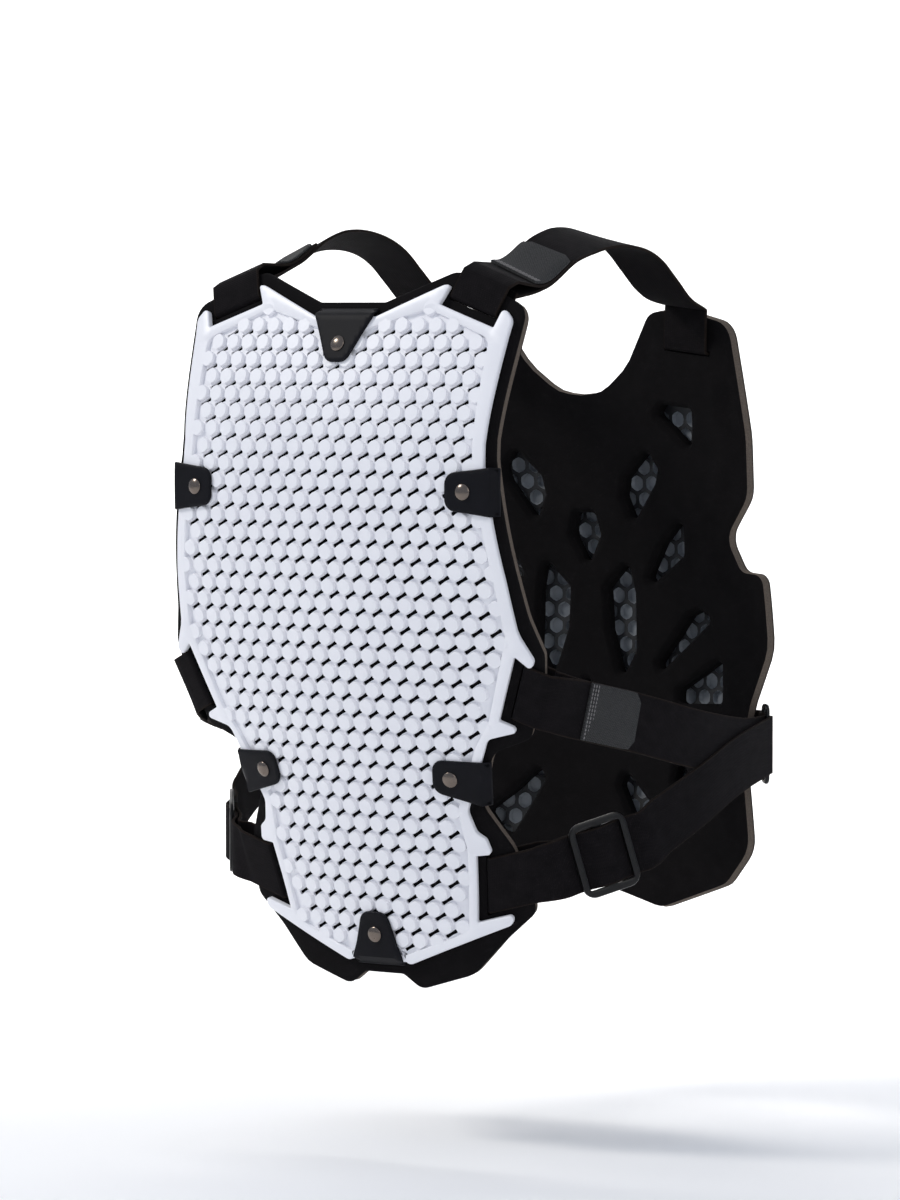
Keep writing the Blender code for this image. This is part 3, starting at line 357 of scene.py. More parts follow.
# Cut outlines of the +X half, from the top down: x share, z share, corner radius share
FRONT_LINER_CUT = (
    (0.176, 0.957, 0.5), (0.520, 1.000, 1.3), (0.895, 0.950, 1.3), (0.846, 0.758, 6.0),
    (0.954, 0.528, 3.0), (1.000, 0.479, 0.7), (0.985, 0.448, 0.8), (0.876, 0.361, 0.9),
    (0.693, 0.340, 1.4), (0.608, 0.265, 1.0), (0.712, 0.207, 1.2), (0.765, 0.117, 0.9),
    (0.614, 0.076, 2.0), (0.458, 0.025, 2.0), (0.196, 0.000, 1.0), (0.105, 0.020, 0.6),
)
REAR_LINER_CUT = (
    (0.000, 0.856, 0.0), (0.110, 0.860, 3.0), (0.250, 0.905, 3.0), (0.390, 0.995, 1.4),
    (0.560, 1.000, 2.0), (0.830, 0.975, 1.6), (0.893, 0.790, 5.0), (0.893, 0.690, 2.0),
    (0.760, 0.622, 1.4), (0.840, 0.566, 1.0), (0.965, 0.563, 0.9), (1.000, 0.440, 3.0),
    (0.900, 0.350, 2.0), (0.850, 0.270, 4.0), (0.940, 0.110, 2.0), (0.820, 0.050, 1.6),
    (0.460, 0.000, 2.0), (0.180, 0.026, 2.0),
)

# Vents of the rear liner, x share and z share: the +X half's, then those on the middle line
REAR_VENTS = (
    ((0.395, 0.825), (0.432, 0.842), (0.590, 0.835), (0.580, 0.765)),
    ((0.333, 0.763), (0.386, 0.733), (0.368, 0.708), (0.246, 0.641), (0.199, 0.686),
     (0.216, 0.717)),
    ((0.520, 0.655), (0.514, 0.590), (0.340, 0.540), (0.316, 0.550), (0.398, 0.606)),
    ((0.210, 0.576), (0.240, 0.524), (0.246, 0.425), (0.175, 0.375), (0.105, 0.460),
     (0.095, 0.530)),
    ((0.600, 0.498), (0.670, 0.484), (0.385, 0.392), (0.370, 0.406), (0.540, 0.488)),
    ((0.730, 0.420), (0.735, 0.345), (0.490, 0.340), (0.490, 0.363)),
    ((0.216, 0.222), (0.193, 0.198), (0.327, 0.106), (0.380, 0.111), (0.450, 0.144),
     (0.340, 0.177)),
    ((0.500, 0.245), (0.560, 0.225), (0.470, 0.190)),
)
REAR_MIDDLE_VENTS = (
    ((0.000, 0.566), (0.070, 0.620), (0.045, 0.657), (-0.045, 0.657), (-0.070, 0.620)),
    ((0.000, 0.385), (0.050, 0.340), (0.030, 0.290), (-0.030, 0.290), (-0.050, 0.340)),
)


def stepped(loop, step=0.006):
    """Outline listed anticlockwise, whose long sides are divided to follow the bend."""
    divided = []
    for index, corner in enumerate(loop):
        before = loop[index - 1]
        count = max(1, round((corner - before).length / step))
        divided += [before.lerp(corner, (i + 1) / count) for i in range(count)]
    area = sum(a.x * b.y - b.x * a.y for a, b in zip(divided, divided[1:] + divided[:1]))
    return divided if area > 0 else divided[::-1]


def offset(loop, distance):
    """An anticlockwise outline drawn in by a distance, or let out if it is negative."""
    moved = []
    for index, corner in enumerate(loop):
        before = (corner - loop[index - 1]).normalized()
        after = (loop[(index + 1) % len(loop)] - corner).normalized()
        way = (before + after).normalized()
        normal = Vector((-way.y, way.x))
        moved.append(corner + normal * (distance / max(0.6, way.dot(before))))
    return moved


def flat(places):
    """Array of the x and y of flat places."""
    return np.array([(place.x, place.y) for place in places])


def spread(places, loops):
    """Distance of each place from the nearest side of any loop, from arrays."""
    ends = np.concatenate(loops)
    side = ends - np.concatenate([np.roll(loop, 1, axis=0) for loop in loops])
    gap = places[:, None] - ends[None]
    share = np.clip((gap * side).sum(2) / np.maximum((side ** 2).sum(1), 1e-12), -1, 0)
    return np.sqrt(((gap - share[..., None] * side) ** 2).sum(2)).min(1)


def within(places, loop):
    """Whether each place lies inside a loop, from arrays."""
    x, y = places[:, 0, None], places[:, 1, None]
    far = np.roll(loop, 1, axis=0)
    rise = np.where(far[:, 1] == loop[:, 1], 1e-12, far[:, 1] - loop[:, 1])
    at = loop[:, 0] + (y - loop[:, 1]) / rise * (far[:, 0] - loop[:, 0])
    return (((loop[:, 1] > y) != (far[:, 1] > y)) & (x < at)).sum(1) % 2 == 1


def grid(loops, step, clear):
    """Places on a square grid inside the first loop, clear of its sides and of the others."""
    loops = [flat(loop) for loop in loops]
    low, high = loops[0].min(0), loops[0].max(0)
    places = np.array([(x, y) for x in np.arange(low[0], high[0], step)
                       for y in np.arange(low[1], high[1], step)])
    kept = within(places, loops[0]) & (spread(places, loops) > clear)
    for loop in loops[1:]:
        kept &= ~within(places, loop)
    return [Vector(place) for place in places[kept]]


def filled(outline, holes, marks, spots):
    """Triangles over an outline and round its holes, as numbers of the listed places."""
    loops = [outline, *holes, *marks]
    places, owner, edges = [], [], []
    for number, loop in enumerate(loops):
        first = len(places)
        edges += [(first + (i or len(loop)) - 1, first + i) for i in range(len(loop))]
        places += loop
        owner += [number] * len(loop)
    owner += [-1] * len(spots)
    spread_out, _, faces, old, _, _ = delaunay_2d_cdt(places + spots, edges, [], 0, 1e-7)
    faces = [face for face in faces if all(old[i] for i in face)]
    middles = np.array([[sum(spread_out[i][axis] for i in face) / 3 for axis in (0, 1)]
                        for face in faces])
    faces = [[old[i][0] for i in face] for face in faces]
    held = np.array([owner[face[0]] if len({owner[i] for i in face}) == 1 else -1
                     for face in faces])
    kept = np.ones(len(faces), bool)
    for number in set(held[(held >= 0) & (held <= len(holes))].tolist()):
        own = np.flatnonzero(held == number)
        kept[own] = within(middles[own], flat(loops[number])) == (number == 0)
    return [face for face, keep in zip(faces, kept) if keep]


def wall(shape, first, second, material=0):
    """Faces between two rings of vertices."""
    for i in range(len(first)):
        face = shape.faces.new((first[i - 1], first[i], second[i], second[i - 1]))
        face.material_index = material


def plate(outline, rows, holes, place, spots, marks=(), feet=(), wells=()):
    """Closed plate. Rows give the inset, the height and the material of each step from its
    face round its edge to its back, and each hole has rows too. Marks and feet are loops on
    its face with a height, wells loops on its back. Feet and wells stay open, and the shape
    comes with their vertices."""
    shape = bmesh.new()

    def ring(loop, height):
        return [shape.verts.new(place(c, height)) for c in loop]

    walls = [(rows, [offset(outline, inset) for inset, _, _ in rows])]
    walls += [(steps, [offset(hole, -inset) for inset, _, _ in steps])
              for hole, steps in holes]
    rings = [[ring(loop, row[1]) for row, loop in zip(steps, loops)] for steps, loops in walls]
    for (steps, _), levels in zip(walls, rings):
        for upper, lower, (_, _, material) in zip(levels, levels[1:], steps):
            wall(shape, upper, lower, material)
    opened = []
    for end, openings, inner in ((0, feet, marks), (-1, wells, ())):
        lips = [ring(loop, level) for loop, level in openings]
        opened.append(lips)
        corners = [v for levels in rings for v in levels[end]]
        corners += [v for lip in lips for v in lip]
        corners += [v for loop, level in inner for v in ring(loop, level)]
        level = inner[-1][1] if inner else rows[end][1]
        corners += [shape.verts.new(place(spot, level)) for spot in spots]
        loops = [steps[end] for _, steps in walls]
        for face in filled(loops[0], loops[1:] + [loop for loop, _ in openings],
                           [loop for loop, _ in inner], spots):
            made = shape.faces.new([corners[i] for i in face])
            made.material_index = rows[end][2]
    return shape, *opened


def piece(name, shape, materials, sharp=40, side=1):
    """Named object from a bmesh, shaded smooth except at sharp edges. Side -1 mirrors it."""
    bmesh.ops.scale(shape, vec=(side, 1, 1), verts=shape.verts)
    for vert in [v for v in shape.verts if not v.link_faces]:
        shape.verts.remove(vert)
    bmesh.ops.recalc_face_normals(shape, faces=shape.faces)
    mesh = bpy.data.meshes.new(name)
    shape.to_mesh(mesh)
    shape.free()
    for material in materials:
        mesh.materials.append(material)
    mesh.shade_smooth()
    mesh.set_sharp_from_angle(angle=math.radians(sharp))
    made = bpy.data.objects.new(name, mesh)
    bpy.context.collection.objects.link(made)
    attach(made, "root")
    return made


def noise(tree, scale, detail=2.0):
    """Value of a cloudy pattern fixed to the piece."""
    where = add(tree, "ShaderNodeTexCoord").outputs["Object"]
    return add(tree, "ShaderNodeTexNoise", {"Vector": where, "Scale": scale,
                                            "Detail": detail}).outputs["Fac"]


def cells(tree, pitch):
    """Distance from the middle of each cell of an irregular pattern fixed to the piece."""
    where = add(tree, "ShaderNodeTexCoord").outputs["Object"]
    return add(tree, "ShaderNodeTexVoronoi", {"Vector": where,
                                              "Scale": 1 / pitch}).outputs["Distance"]


def tinted(tree, shader, factor, low, high):
    """Base colour that goes from one tone to another by a factor."""
    low, high = (linear(tone) if isinstance(tone, str) else tone for tone in (low, high))
    shade = add(tree, "ShaderNodeMix", {"Factor": factor, "A": low, "B": high},
                data_type="RGBA").outputs["Result"]
    tree.links.new(shade, shader.inputs["Base Color"])
    return shade


def polished(tree, shader, factor, low, high):
    """Roughness that goes from one value to another by a factor."""
    gloss = add(tree, "ShaderNodeMapRange", {"Value": factor, "To Min": low, "To Max": high})
    tree.links.new(gloss.outputs["Result"], shader.inputs["Roughness"])


def embossed(tree, shader, height, strength, depth, **settings):
    """Relief too fine for the mesh."""
    bump = add(tree, "ShaderNodeBump", {"Height": height, "Strength": strength,
                                        "Distance": depth}, **settings)
    tree.links.new(bump.outputs["Normal"], shader.inputs["Normal"])


# Knitted cloth: the yarn's loops give a fine grain 0.9 mm apart, the nap a cloudy black.
cloth, tree, shader = finish("knitted polyester cloth", "0f0d0e", 0.92, specular=0.1)
tinted(tree, shader, noise(tree, 60.0, 4.0), "0a090a", "151314")
embossed(tree, shader, cells(tree, 0.0009), 0.35, 0.0003)

# Cut foam: closed cells 0.7 mm apart give a pitted edge, mottled taupe.
foam, tree, shader = finish("cut polyethylene foam", "5d544c", 0.95, specular=0.1)
tinted(tree, shader, noise(tree, 900.0), "4a423b", "6f655c")
embossed(tree, shader, cells(tree, 0.0007), 0.5, 0.0003)

CLOTH, FOAM = 0, 1


def edge_rows(thick):
    """Steps round a liner's cut edge: rolled cloth in front, then bare foam."""
    return ((0.0018, 0.0, CLOTH), (0.0008, -0.0003, CLOTH), (0.0002, -0.0009, CLOTH),
            (0.0, -thick * 0.22, FOAM), (0.0003, -thick * 0.26, FOAM),
            (0.0003, 0.0010 - thick, CLOTH), (0.0001, 0.0007 - thick, CLOTH),
            (0.0009, -thick, CLOTH))


def slot_rows(thick):
    """Steps through a strap slot."""
    return ((0.0004, 0.0, CLOTH), (0.0001, -0.0002, CLOTH), (0.0, -0.0006, CLOTH),
            (0.0, 0.0006 - thick, CLOTH), (0.0004, -thick, CLOTH))


front_cut = stepped(rounded(mirrored(corners_at(FRONT, FRONT_LINER_CUT))))
rear_cut = stepped(rounded(mirrored(corners_at(REAR, REAR_LINER_CUT))))


def both_sides(loops):
    """Outlines with their mirror images on the wearer's right, still anticlockwise."""
    return loops + [[Vector((-c.x, c.y)) for c in reversed(loop)] for loop in loops]


def placed(panel):
    """Rule that puts a flat place at a height over a panel's skin."""
    return lambda spot, height: panel.skin(spot.x, spot.y, height)


# What the liner leaves open round a pulled strap
PULLED_OPENING = 0.0036
PULLED_SIDE = 0.0012


def closed_in(slot):
    """The slot as the pulled strap leaves it, with the soft liner closed up beside it."""
    outer = THREAD_FIT + SLOT_OPENING
    inner = outer - PULLED_OPENING
    ends = (STRAP_WIDTH / 2 + PULLED_SIDE) / slot.half
    return stepped([slot.at(-ends, inner), slot.at(ends, inner), slot.at(ends, outer),
                    slot.at(-ends, outer)])


# Mesh of the front liner's face: grid step and how far it keeps from the cut edges
FRONT_GRID = (0.009, 0.004)
slots = both_sides([closed_in(slot) for slot in (SHOULDER_SLOT, MIDDLE_SLOT, LOWER_SLOT)])
shape, _, _ = plate(front_cut, edge_rows(FRONT_LINER),
                    [(loop, slot_rows(FRONT_LINER)) for loop in slots], placed(FRONT),
                    grid([front_cut, *slots], *FRONT_GRID))
front_pad = piece("front_pad", shape, [cloth, foam])
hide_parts("front_liner")

# The rear liner is pressed thinner along a margin inside its cut edge. Its vents are cut
# through foam and cloth, and the shell behind shows in them.
MARGIN = 0.016
MARGIN_FADE = 0.005
MARGIN_PRESS = 0.30
REAR_GRID = (0.006, 0.0055)
VENT_CORNER = 0.35
# A vent's rim: straight through the cloth and most of the foam, then flared to the back
VENT_ROWS = ((0.0007, 0.0, CLOTH), (0.0, -0.0007, CLOTH), (0.0, 0.0042 - REAR_LINER, CLOTH),
             (0.0002, 0.0036 - REAR_LINER, CLOTH), (0.0022, 0.0014 - REAR_LINER, CLOTH),
             (0.0034, 0.0003 - REAR_LINER, CLOTH), (0.0042, -REAR_LINER, CLOTH))
rear_sides = flat(rear_cut)


def rear_place(spot, height):
    """Height over the rear skin, with the pressed margin."""
    inside = spread(flat([spot]), [rear_sides])[0]
    share = eased((inside - MARGIN) / MARGIN_FADE + 0.5)
    return REAR.skin(spot.x, spot.y, height * (1 - MARGIN_PRESS * (1 - share)))


def vent_loops(vents):
    """Outlines of vents."""
    return [stepped(rounded([(REAR.at(x, z), VENT_CORNER) for x, z in vent]))
            for vent in vents]


rear_slots = both_sides([closed_in(REAR_SLOT)])
vents = both_sides(vent_loops(REAR_VENTS)) + vent_loops(REAR_MIDDLE_VENTS)
shape, _, _ = plate(rear_cut, edge_rows(REAR_LINER),
                    [(loop, VENT_ROWS) for loop in vents]
                    + [(loop, slot_rows(REAR_LINER)) for loop in rear_slots], rear_place,
                    grid([rear_cut, *vents, *rear_slots], *REAR_GRID))
rear_pad = piece("rear_pad", shape, [cloth, foam])
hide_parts("rear_liner")

# Moulded shells: white polypropylene, injection moulded with rows of flat-topped lugs that
# a thin web joins, a slanted slit beside each lug, and a smooth raised border. The rivets
# hold the front one on its liner, and the rings' webbing is sewn to the rear one.
GAP = 0.0003
SEWN_LAP = 0.018
SHELL = 0.002
SHELL_SEAT = 0.0010
WEB_BACK = SHELL_SEAT - 0.0002
WEB = 0.0021
CREST = 0.0050
LUG_PITCH = 0.0133
ROW_PITCH = LUG_PITCH * math.sqrt(3) / 2
LUG_COLUMNS = 14
LUG_SIDES = 12
# How far the lugs' outline is drawn towards a hexagon, as a share of their radius
LUG_HEX = 0.03
# Lug profile: radius and height from foot to flat top
LUG_ROWS = ((0.0055, WEB), (0.0053, 0.0027), (0.0052, 0.0043), (0.0051, 0.0048),
            (0.00485, CREST))
# Lugs' hollows behind the shade-backed shell, painted mid grey as shade, from their open rim
HOLLOW_ROWS = ((0.0050, CREST - 0.0020), (0.0046, CREST - 0.0014))
# Slit outline: along and across, in metres, of one half
SLIT = ((-0.0049, 0.0007), (-0.0043, 0.0015), (-0.0027, 0.0012), (0.0, 0.0010),
        (0.0027, 0.0012), (0.0043, 0.0015), (0.0049, 0.0007))

# How far inside the liner's box the shell's lies, at the sides, the top and the bottom
SHELL_BORDER = (0.007, 0.011, 0.018)
FRONT_SHELL_TOP = ((0.171, 0.954, 0.3), (0.510, 1.000, 0.8))
FRONT_SHELL_SIDE = ((0.890, 0.950, 0.7), (0.880, 0.925, 0.8), (0.839, 0.758, 6.0),
                    (0.925, 0.576, 6.0), (0.949, 0.502, 1.5))
FRONT_SHELL_WAIST = ((0.726, 0.346, 0.8), (0.572, 0.237, 0.8), (0.596, 0.206, 0.6),
                     (0.637, 0.197, 0.4))
FRONT_SHELL_FOOT = ((0.692, 0.068, 0.6), (0.438, 0.034, 6.0), (0.158, -0.003, 0.5),
                    (0.116, 0.024, 0.3))
REAR_SHELL_TOP = ((0.000, 0.855, 0.0), (0.110, 0.860, 3.0), (0.260, 0.905, 3.0),
                  (0.400, 0.990, 1.0), (0.440, 0.990, 0.4))
REAR_SHELL_SIDE = ((0.820, 0.965, 1.0), (0.880, 0.790, 5.0), (0.880, 0.690, 2.0),
                   (0.745, 0.622, 1.4), (0.840, 0.555, 1.0), (0.960, 0.553, 0.9),
                   (1.000, 0.440, 3.0), (0.890, 0.350, 2.0), (0.830, 0.260, 4.0),
                   (0.860, 0.120, 2.0), (0.700, 0.020, 1.6), (0.420, 0.000, 2.0),
                   (0.160, 0.016, 2.0))

# Horns of the front shell round each slot: along in shares of the half length, how far
# out in metres, and corner radius share
SHOULDER_HORNS = ((-0.93, 0.014, 0.2), (-1.0, 0.000, 0.1), (1.0, 0.000, 0.1),
                  (1.0, 0.015, 0.3))
MIDDLE_HORNS = ((-1.10, 0.013, 0.4), (-0.80, 0.0125, 0.3), (-1.0, 0.000, 0.1),
                (1.0, 0.000, 0.1), (1.02, 0.0165, 0.25))
LOWER_HORNS = ((-0.93, 0.0120, 0.3), (-1.0, 0.000, 0.1), (1.0, 0.000, 0.1),
               (1.0, 0.0265, 0.3))
REAR_HORNS = ((-1.0, 0.000, 0.1), (1.0, 0.000, 0.1))


def slot_corners(slot, rows):
    """Corners placed from a slot, so that the horns keep to it."""
    return [(slot.at(along, out), radius) for along, out, radius in rows]


def front_shell_outline():
    """Cut outline of the front shell with its six open slots."""
    def part(rows):
        return corners_at(FRONT, rows, SHELL_BORDER)
    return rounded(mirrored(
        part(FRONT_SHELL_TOP) + slot_corners(SHOULDER_SLOT, SHOULDER_HORNS)
        + part(FRONT_SHELL_SIDE) + slot_corners(MIDDLE_SLOT, MIDDLE_HORNS)
        + part(FRONT_SHELL_WAIST) + slot_corners(LOWER_SLOT, LOWER_HORNS)
        + part(FRONT_SHELL_FOOT)))


def rear_shell_outline():
    """Cut outline of the rear shell, whose notches leave room for the sewn straps."""
    notch = [(REAR_SLOT.at(along, out - SEWN_LAP - 2 * THREAD_FIT), radius)
             for along, out, radius in REAR_HORNS]
    return rounded(mirrored(
        corners_at(REAR, REAR_SHELL_TOP, SHELL_BORDER) + notch
        + corners_at(REAR, REAR_SHELL_SIDE, SHELL_BORDER)))


# Inner edges of the raised borders, +X half: x share, z share, corner radius share
FRONT_BAND = (
    (0.100, 0.914, 0.4), (0.430, 0.944, 0.6), (0.755, 0.903, 0.8), (0.748, 0.750, 5.0),
    (0.828, 0.580, 5.0), (0.848, 0.505, 1.0), (0.719, 0.392, 1.0), (0.630, 0.350, 1.0),
    (0.500, 0.262, 1.0), (0.512, 0.205, 0.6), (0.459, 0.092, 0.8), (0.392, 0.080, 2.0),
    (0.144, 0.050, 0.8),
)
REAR_BAND = (
    (0.000, 0.800, 0.0), (0.120, 0.806, 3.0), (0.280, 0.848, 1.0), (0.440, 0.846, 0.6),
    (0.760, 0.838, 0.8), (0.800, 0.760, 5.0), (0.790, 0.690, 2.0), (0.660, 0.622, 1.4),
    (0.755, 0.540, 1.0), (0.870, 0.528, 0.9), (0.900, 0.440, 3.0), (0.810, 0.350, 2.0),
    (0.750, 0.260, 4.0), (0.770, 0.130, 2.0), (0.640, 0.075, 1.6), (0.400, 0.060, 2.0),
    (0.160, 0.068, 2.0),
)
# Steps round a shell's cut edge. The last row's material 1 makes the shell's back near black,
# as painted shade.
CREST_ROWS = ((0.0012, CREST, 0), (0.0005, CREST - 0.0002, 0),
              (0.00012, CREST - 0.00055, 0), (0.0, CREST - 0.0011, 0),
              (0.0, WEB_BACK + 0.0004, 0), (0.0004, WEB_BACK, 1))
WEB_ROWS = ((0.0, WEB, 0), (0.0, WEB_BACK, 1))
# The step from the border's flat face down to the web: how far in, and height
BORDER_STEP = ((0.0009, CREST), (0.0004, CREST - 0.0004), (0.0, WEB))
SHELL_SIDE_STEP = 0.005
# Height over the web's back of the near-black sheet of painted shade that closes the rear
# shell's slits
SHADE_SHEET = 0.0003
# Least web left outside a lug, and how far a cut lug may reach over the border's step
LUG_EDGE = 0.001
LUG_OVERLAP = 0.35

# Injection-moulded plastic: cool white, a satin shine that varies with the flow, faint grain.
plastic, tree, shader = finish("moulded polypropylene", "f2f2f6", 0.33)
flow = noise(tree, 14.0, 3.0)
tinted(tree, shader, flow, "ececf1", "f7f7fa")
polished(tree, shader, flow, 0.28, 0.42)
embossed(tree, shader, noise(tree, 1600.0), 0.08, 0.0001)

# Painted shade: a near black, dull colour for the back of both shells and for the sheet that
# closes the rear shell's slits, so the slits read as dark.
shade_backing, tree, shader = finish("inside in painted shade", "131416", 0.6)
tinted(tree, shader, noise(tree, 40.0, 3.0), "1c1d1f", "2b2d30")

# Painted shade: the white plastic inside the lugs' hollows is given a mid grey, as the vents
# show it.
hollow, tree, shader = finish("lug hollow in painted shade", "8a8f94", 0.45)
tinted(tree, shader, noise(tree, 40.0, 3.0), "787d82", "9a9fa5")


def turned(loop, centre, angle):
    """A loop of offsets turned about a place."""
    cos, sin = math.cos(angle), math.sin(angle)
    return [centre + Vector((c[0] * cos - c[1] * sin, c[0] * sin + c[1] * cos)) for c in loop]


def disc(centre, radius):
    """Lug outline: a circle drawn slightly towards a hexagon."""
    steps = [2 * math.pi * i / LUG_SIDES for i in range(LUG_SIDES)]
    return [centre + Vector((math.cos(a), math.sin(a)))
            * (radius * (1 - LUG_HEX * math.cos(6 * a))) for a in steps]


def stack(shape, panel, lip, loops, material):
    """Rings of a lug or its hollow, from an open lip to a flat cap: loops have heights."""
    for loop, height in loops:
        ring = [shape.verts.new(panel.skin(c.x, c.y, height)) for c in loop]
        wall(shape, lip, ring, material)
        lip = ring
    shape.faces.new(lip).material_index = material


def lug(centre, rows):
    """Loops with heights from rows of radius and height."""
    return [(disc(centre, radius), height) for radius, height in rows]


def moulded_shell(name, panel, outline, band, shade_backed):
    """A shell with its lugs, slits and raised border, its back near black as painted shade. A
    shade-backed one has a near-black sheet of painted shade over its inside, so its lugs are
    hollow there and its slits end at the sheet."""
    outline = stepped(outline, SHELL_SIDE_STEP)
    outer = flat(outline)
    edge = stepped(rounded(mirrored([(panel.at(x, z), r) for x, z, r in band])),
                   SHELL_SIDE_STEP)
    slit = list(SLIT) + [(x, -y) for x, y in reversed(SLIT)]
    centres = [Vector(((c + 0.5 * (r % 2)) * LUG_PITCH, panel.bottom + r * ROW_PITCH))
               for r in range(int(panel.height / ROW_PITCH) + 2)
               for c in range(-LUG_COLUMNS, LUG_COLUMNS + 1)]
    sides = flat(edge)
    inside, reach = within(flat(centres), sides), spread(flat(centres), [sides])
    foot = LUG_ROWS[0][0]
    whole = [c for c, i, d in zip(centres, inside, reach) if i and d > foot + GAP]
    on_shell = within(flat(centres), outer) & (spread(flat(centres), [outer])
                                               > foot + LUG_EDGE)
    part = [c for c, i, d, on in zip(centres, inside, reach, on_shell)
            if on and (d <= foot + GAP if i else d < foot * LUG_OVERLAP)]
    slits = []
    for centre in centres:
        middle = centre + Vector((-0.25, math.sqrt(3) / 4)) * LUG_PITCH
        loop = turned(slit, middle, math.radians(30))
        if within(flat(loop), sides).all() and spread(flat(loop), [sides]).min() > GAP:
            slits.append(stepped(loop, 0.01))
    feet = [(disc(c, foot), WEB) for c in whole]
    if shade_backed:
        feet += [(loop, WEB) for loop in slits]
    wells = [(disc(c, foot), WEB_BACK) for c in whole] if shade_backed else []
    shape, lips, backs = plate(
        outline, CREST_ROWS, [] if shade_backed else [(slit, WEB_ROWS) for slit in slits],
        placed(panel), [], marks=[(offset(edge, -inset), height)
                                  for inset, height in BORDER_STEP],
        feet=feet, wells=wells)
    for centre, lip in zip(whole, lips):
        stack(shape, panel, lip, lug(centre, LUG_ROWS[1:]), 0)
    # The hollows take material 2, the mid grey of painted shade.
    for centre, lip in zip(whole, backs):
        stack(shape, panel, lip, lug(centre, HOLLOW_ROWS), 2)
    # Painted shade: each slit of a shade-backed shell ends in a near-black face just over the
    # web's back.
    for loop, lip in zip(slits, lips[len(whole):]):
        ring = [shape.verts.new(panel.skin(c.x, c.y, WEB_BACK + SHADE_SHEET)) for c in loop]
        wall(shape, lip, ring)
        shape.faces.new(ring).material_index = 1
    for centre in part:
        base = [shape.verts.new(panel.skin(c.x, c.y, WEB - GAP)) for c in disc(centre, foot)]
        shape.faces.new(base)
        stack(shape, panel, base, lug(centre, LUG_ROWS[1:]), 0)
    return piece(name, shape, [plastic, shade_backing, hollow], sharp=38)


front_guard = moulded_shell("front_guard", FRONT, front_shell_outline(), FRONT_BAND, False)
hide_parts("front_shell")
rear_guard = moulded_shell("rear_guard", REAR, rear_shell_outline(), REAR_BAND, True)
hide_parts("rear_shell")

# Tabs: moulded rubber tongues that fold from the liner over the front shell's edge, each
# held by a dark nickel rivet with a domed head and a rolled rim.
TAB = 0.0022
TAB_LAP = 0.006
TAB_SEAT = 0.0003
TAB_GRID = (0.003, 0.0018)
# The fold: how far past the shell's edge it starts, and how long it is
FOLD_START = 0.0008
FOLD = 0.004
RIVET_CAP = 0.0110
RIVET_STEPS = 32


def edge_reach(outline, start, heading):
    """Distance from a place inside an outline to where a straight line leaves it."""
    reach = []
    for index, corner in enumerate(outline):
        side = outline[index - 1] - corner
        across = heading.x * side.y - heading.y * side.x
        if abs(across) < 1e-12:
            continue
        gap = corner - start
        distance = (gap.x * side.y - gap.y * side.x) / across
        share = (gap.x * heading.y - gap.y * heading.x) / across
        if distance > 0 and 0 <= share <= 1:
            reach.append(distance)
    return min(reach)


# Tabs: name, rivet's x and z shares, heading in degrees, how far the tab reaches behind the
# rivet, and its half width at the rivet and at the shell's edge
TABS = (
    ("top", 0.000, 0.895, 90, 0.012, 0.008, 0.024),
    ("upper", 0.719, 0.700, 0, 0.014, 0.012, 0.016),
    ("lower", 0.500, 0.307, -8, 0.013, 0.011, 0.015),
    ("bottom", 0.000, 0.078, -90, 0.016, 0.010, 0.020),
)


def tab_outline(row, outline):
    """Flat outline of a tab, its rivet's place, and where the shell ends beneath it."""
    _, x_share, z_share, turn, behind, inner, outer = row
    rivet = FRONT.at(x_share, z_share)
    heading = Vector((math.cos(math.radians(turn)), math.sin(math.radians(turn))))
    across = Vector((-heading.y, heading.x))
    edge = max(edge_reach(outline, rivet + across * (outer * share), heading)
               for share in (-1.02, 0.0, 1.02))
    end, waist = edge + TAB_LAP, inner * 0.35 + outer * 0.65
    corners = ((-behind, inner, 0.8), (-behind, -inner, 0.8), (edge * 0.45, -waist, 1.2),
               (edge, -outer, 0.6), (end, -outer, 0.1), (end, outer, 0.1),
               (edge, outer, 0.6), (edge * 0.45, waist, 1.2))
    return (rounded([(rivet + heading * along + across * aside, radius)
                     for along, aside, radius in corners]), rivet, heading, edge)


# Rubber: matt black with a fine moulded grain that breaks up its highlights.
rubber, tree, shader = finish("moulded rubber", "101015", 0.5, specular=0.12)
tinted(tree, shader, noise(tree, 50.0, 3.0), "09090c", "121218")
embossed(tree, shader, noise(tree, 1200.0, 3.0), 0.25, 0.0002)

# Plated rivet heads: a dark, warm metal shine, a little uneven from handling.
nickel, tree, shader = finish("black nickel plate", "766c64", 0.2, metallic=1.0)
polished(tree, shader, noise(tree, 500.0, 4.0), 0.14, 0.34)

TAB_ROWS = ((0.0011, TAB, 0), (0.0004, TAB - 0.0003, 0), (0.0, TAB - 0.0011, 0),
            (0.0, 0.0003, 0), (0.0003, 0.0, 0))
# Rivet profile: radius share of the cap and height over the tab
RIVET_ROWS = ((0.0, 0.0022), (0.30, 0.00212), (0.55, 0.00185), (0.75, 0.0014), (0.88, 0.0010),
              (0.97, 0.0007), (1.0, 0.0004), (0.98, -0.0002))


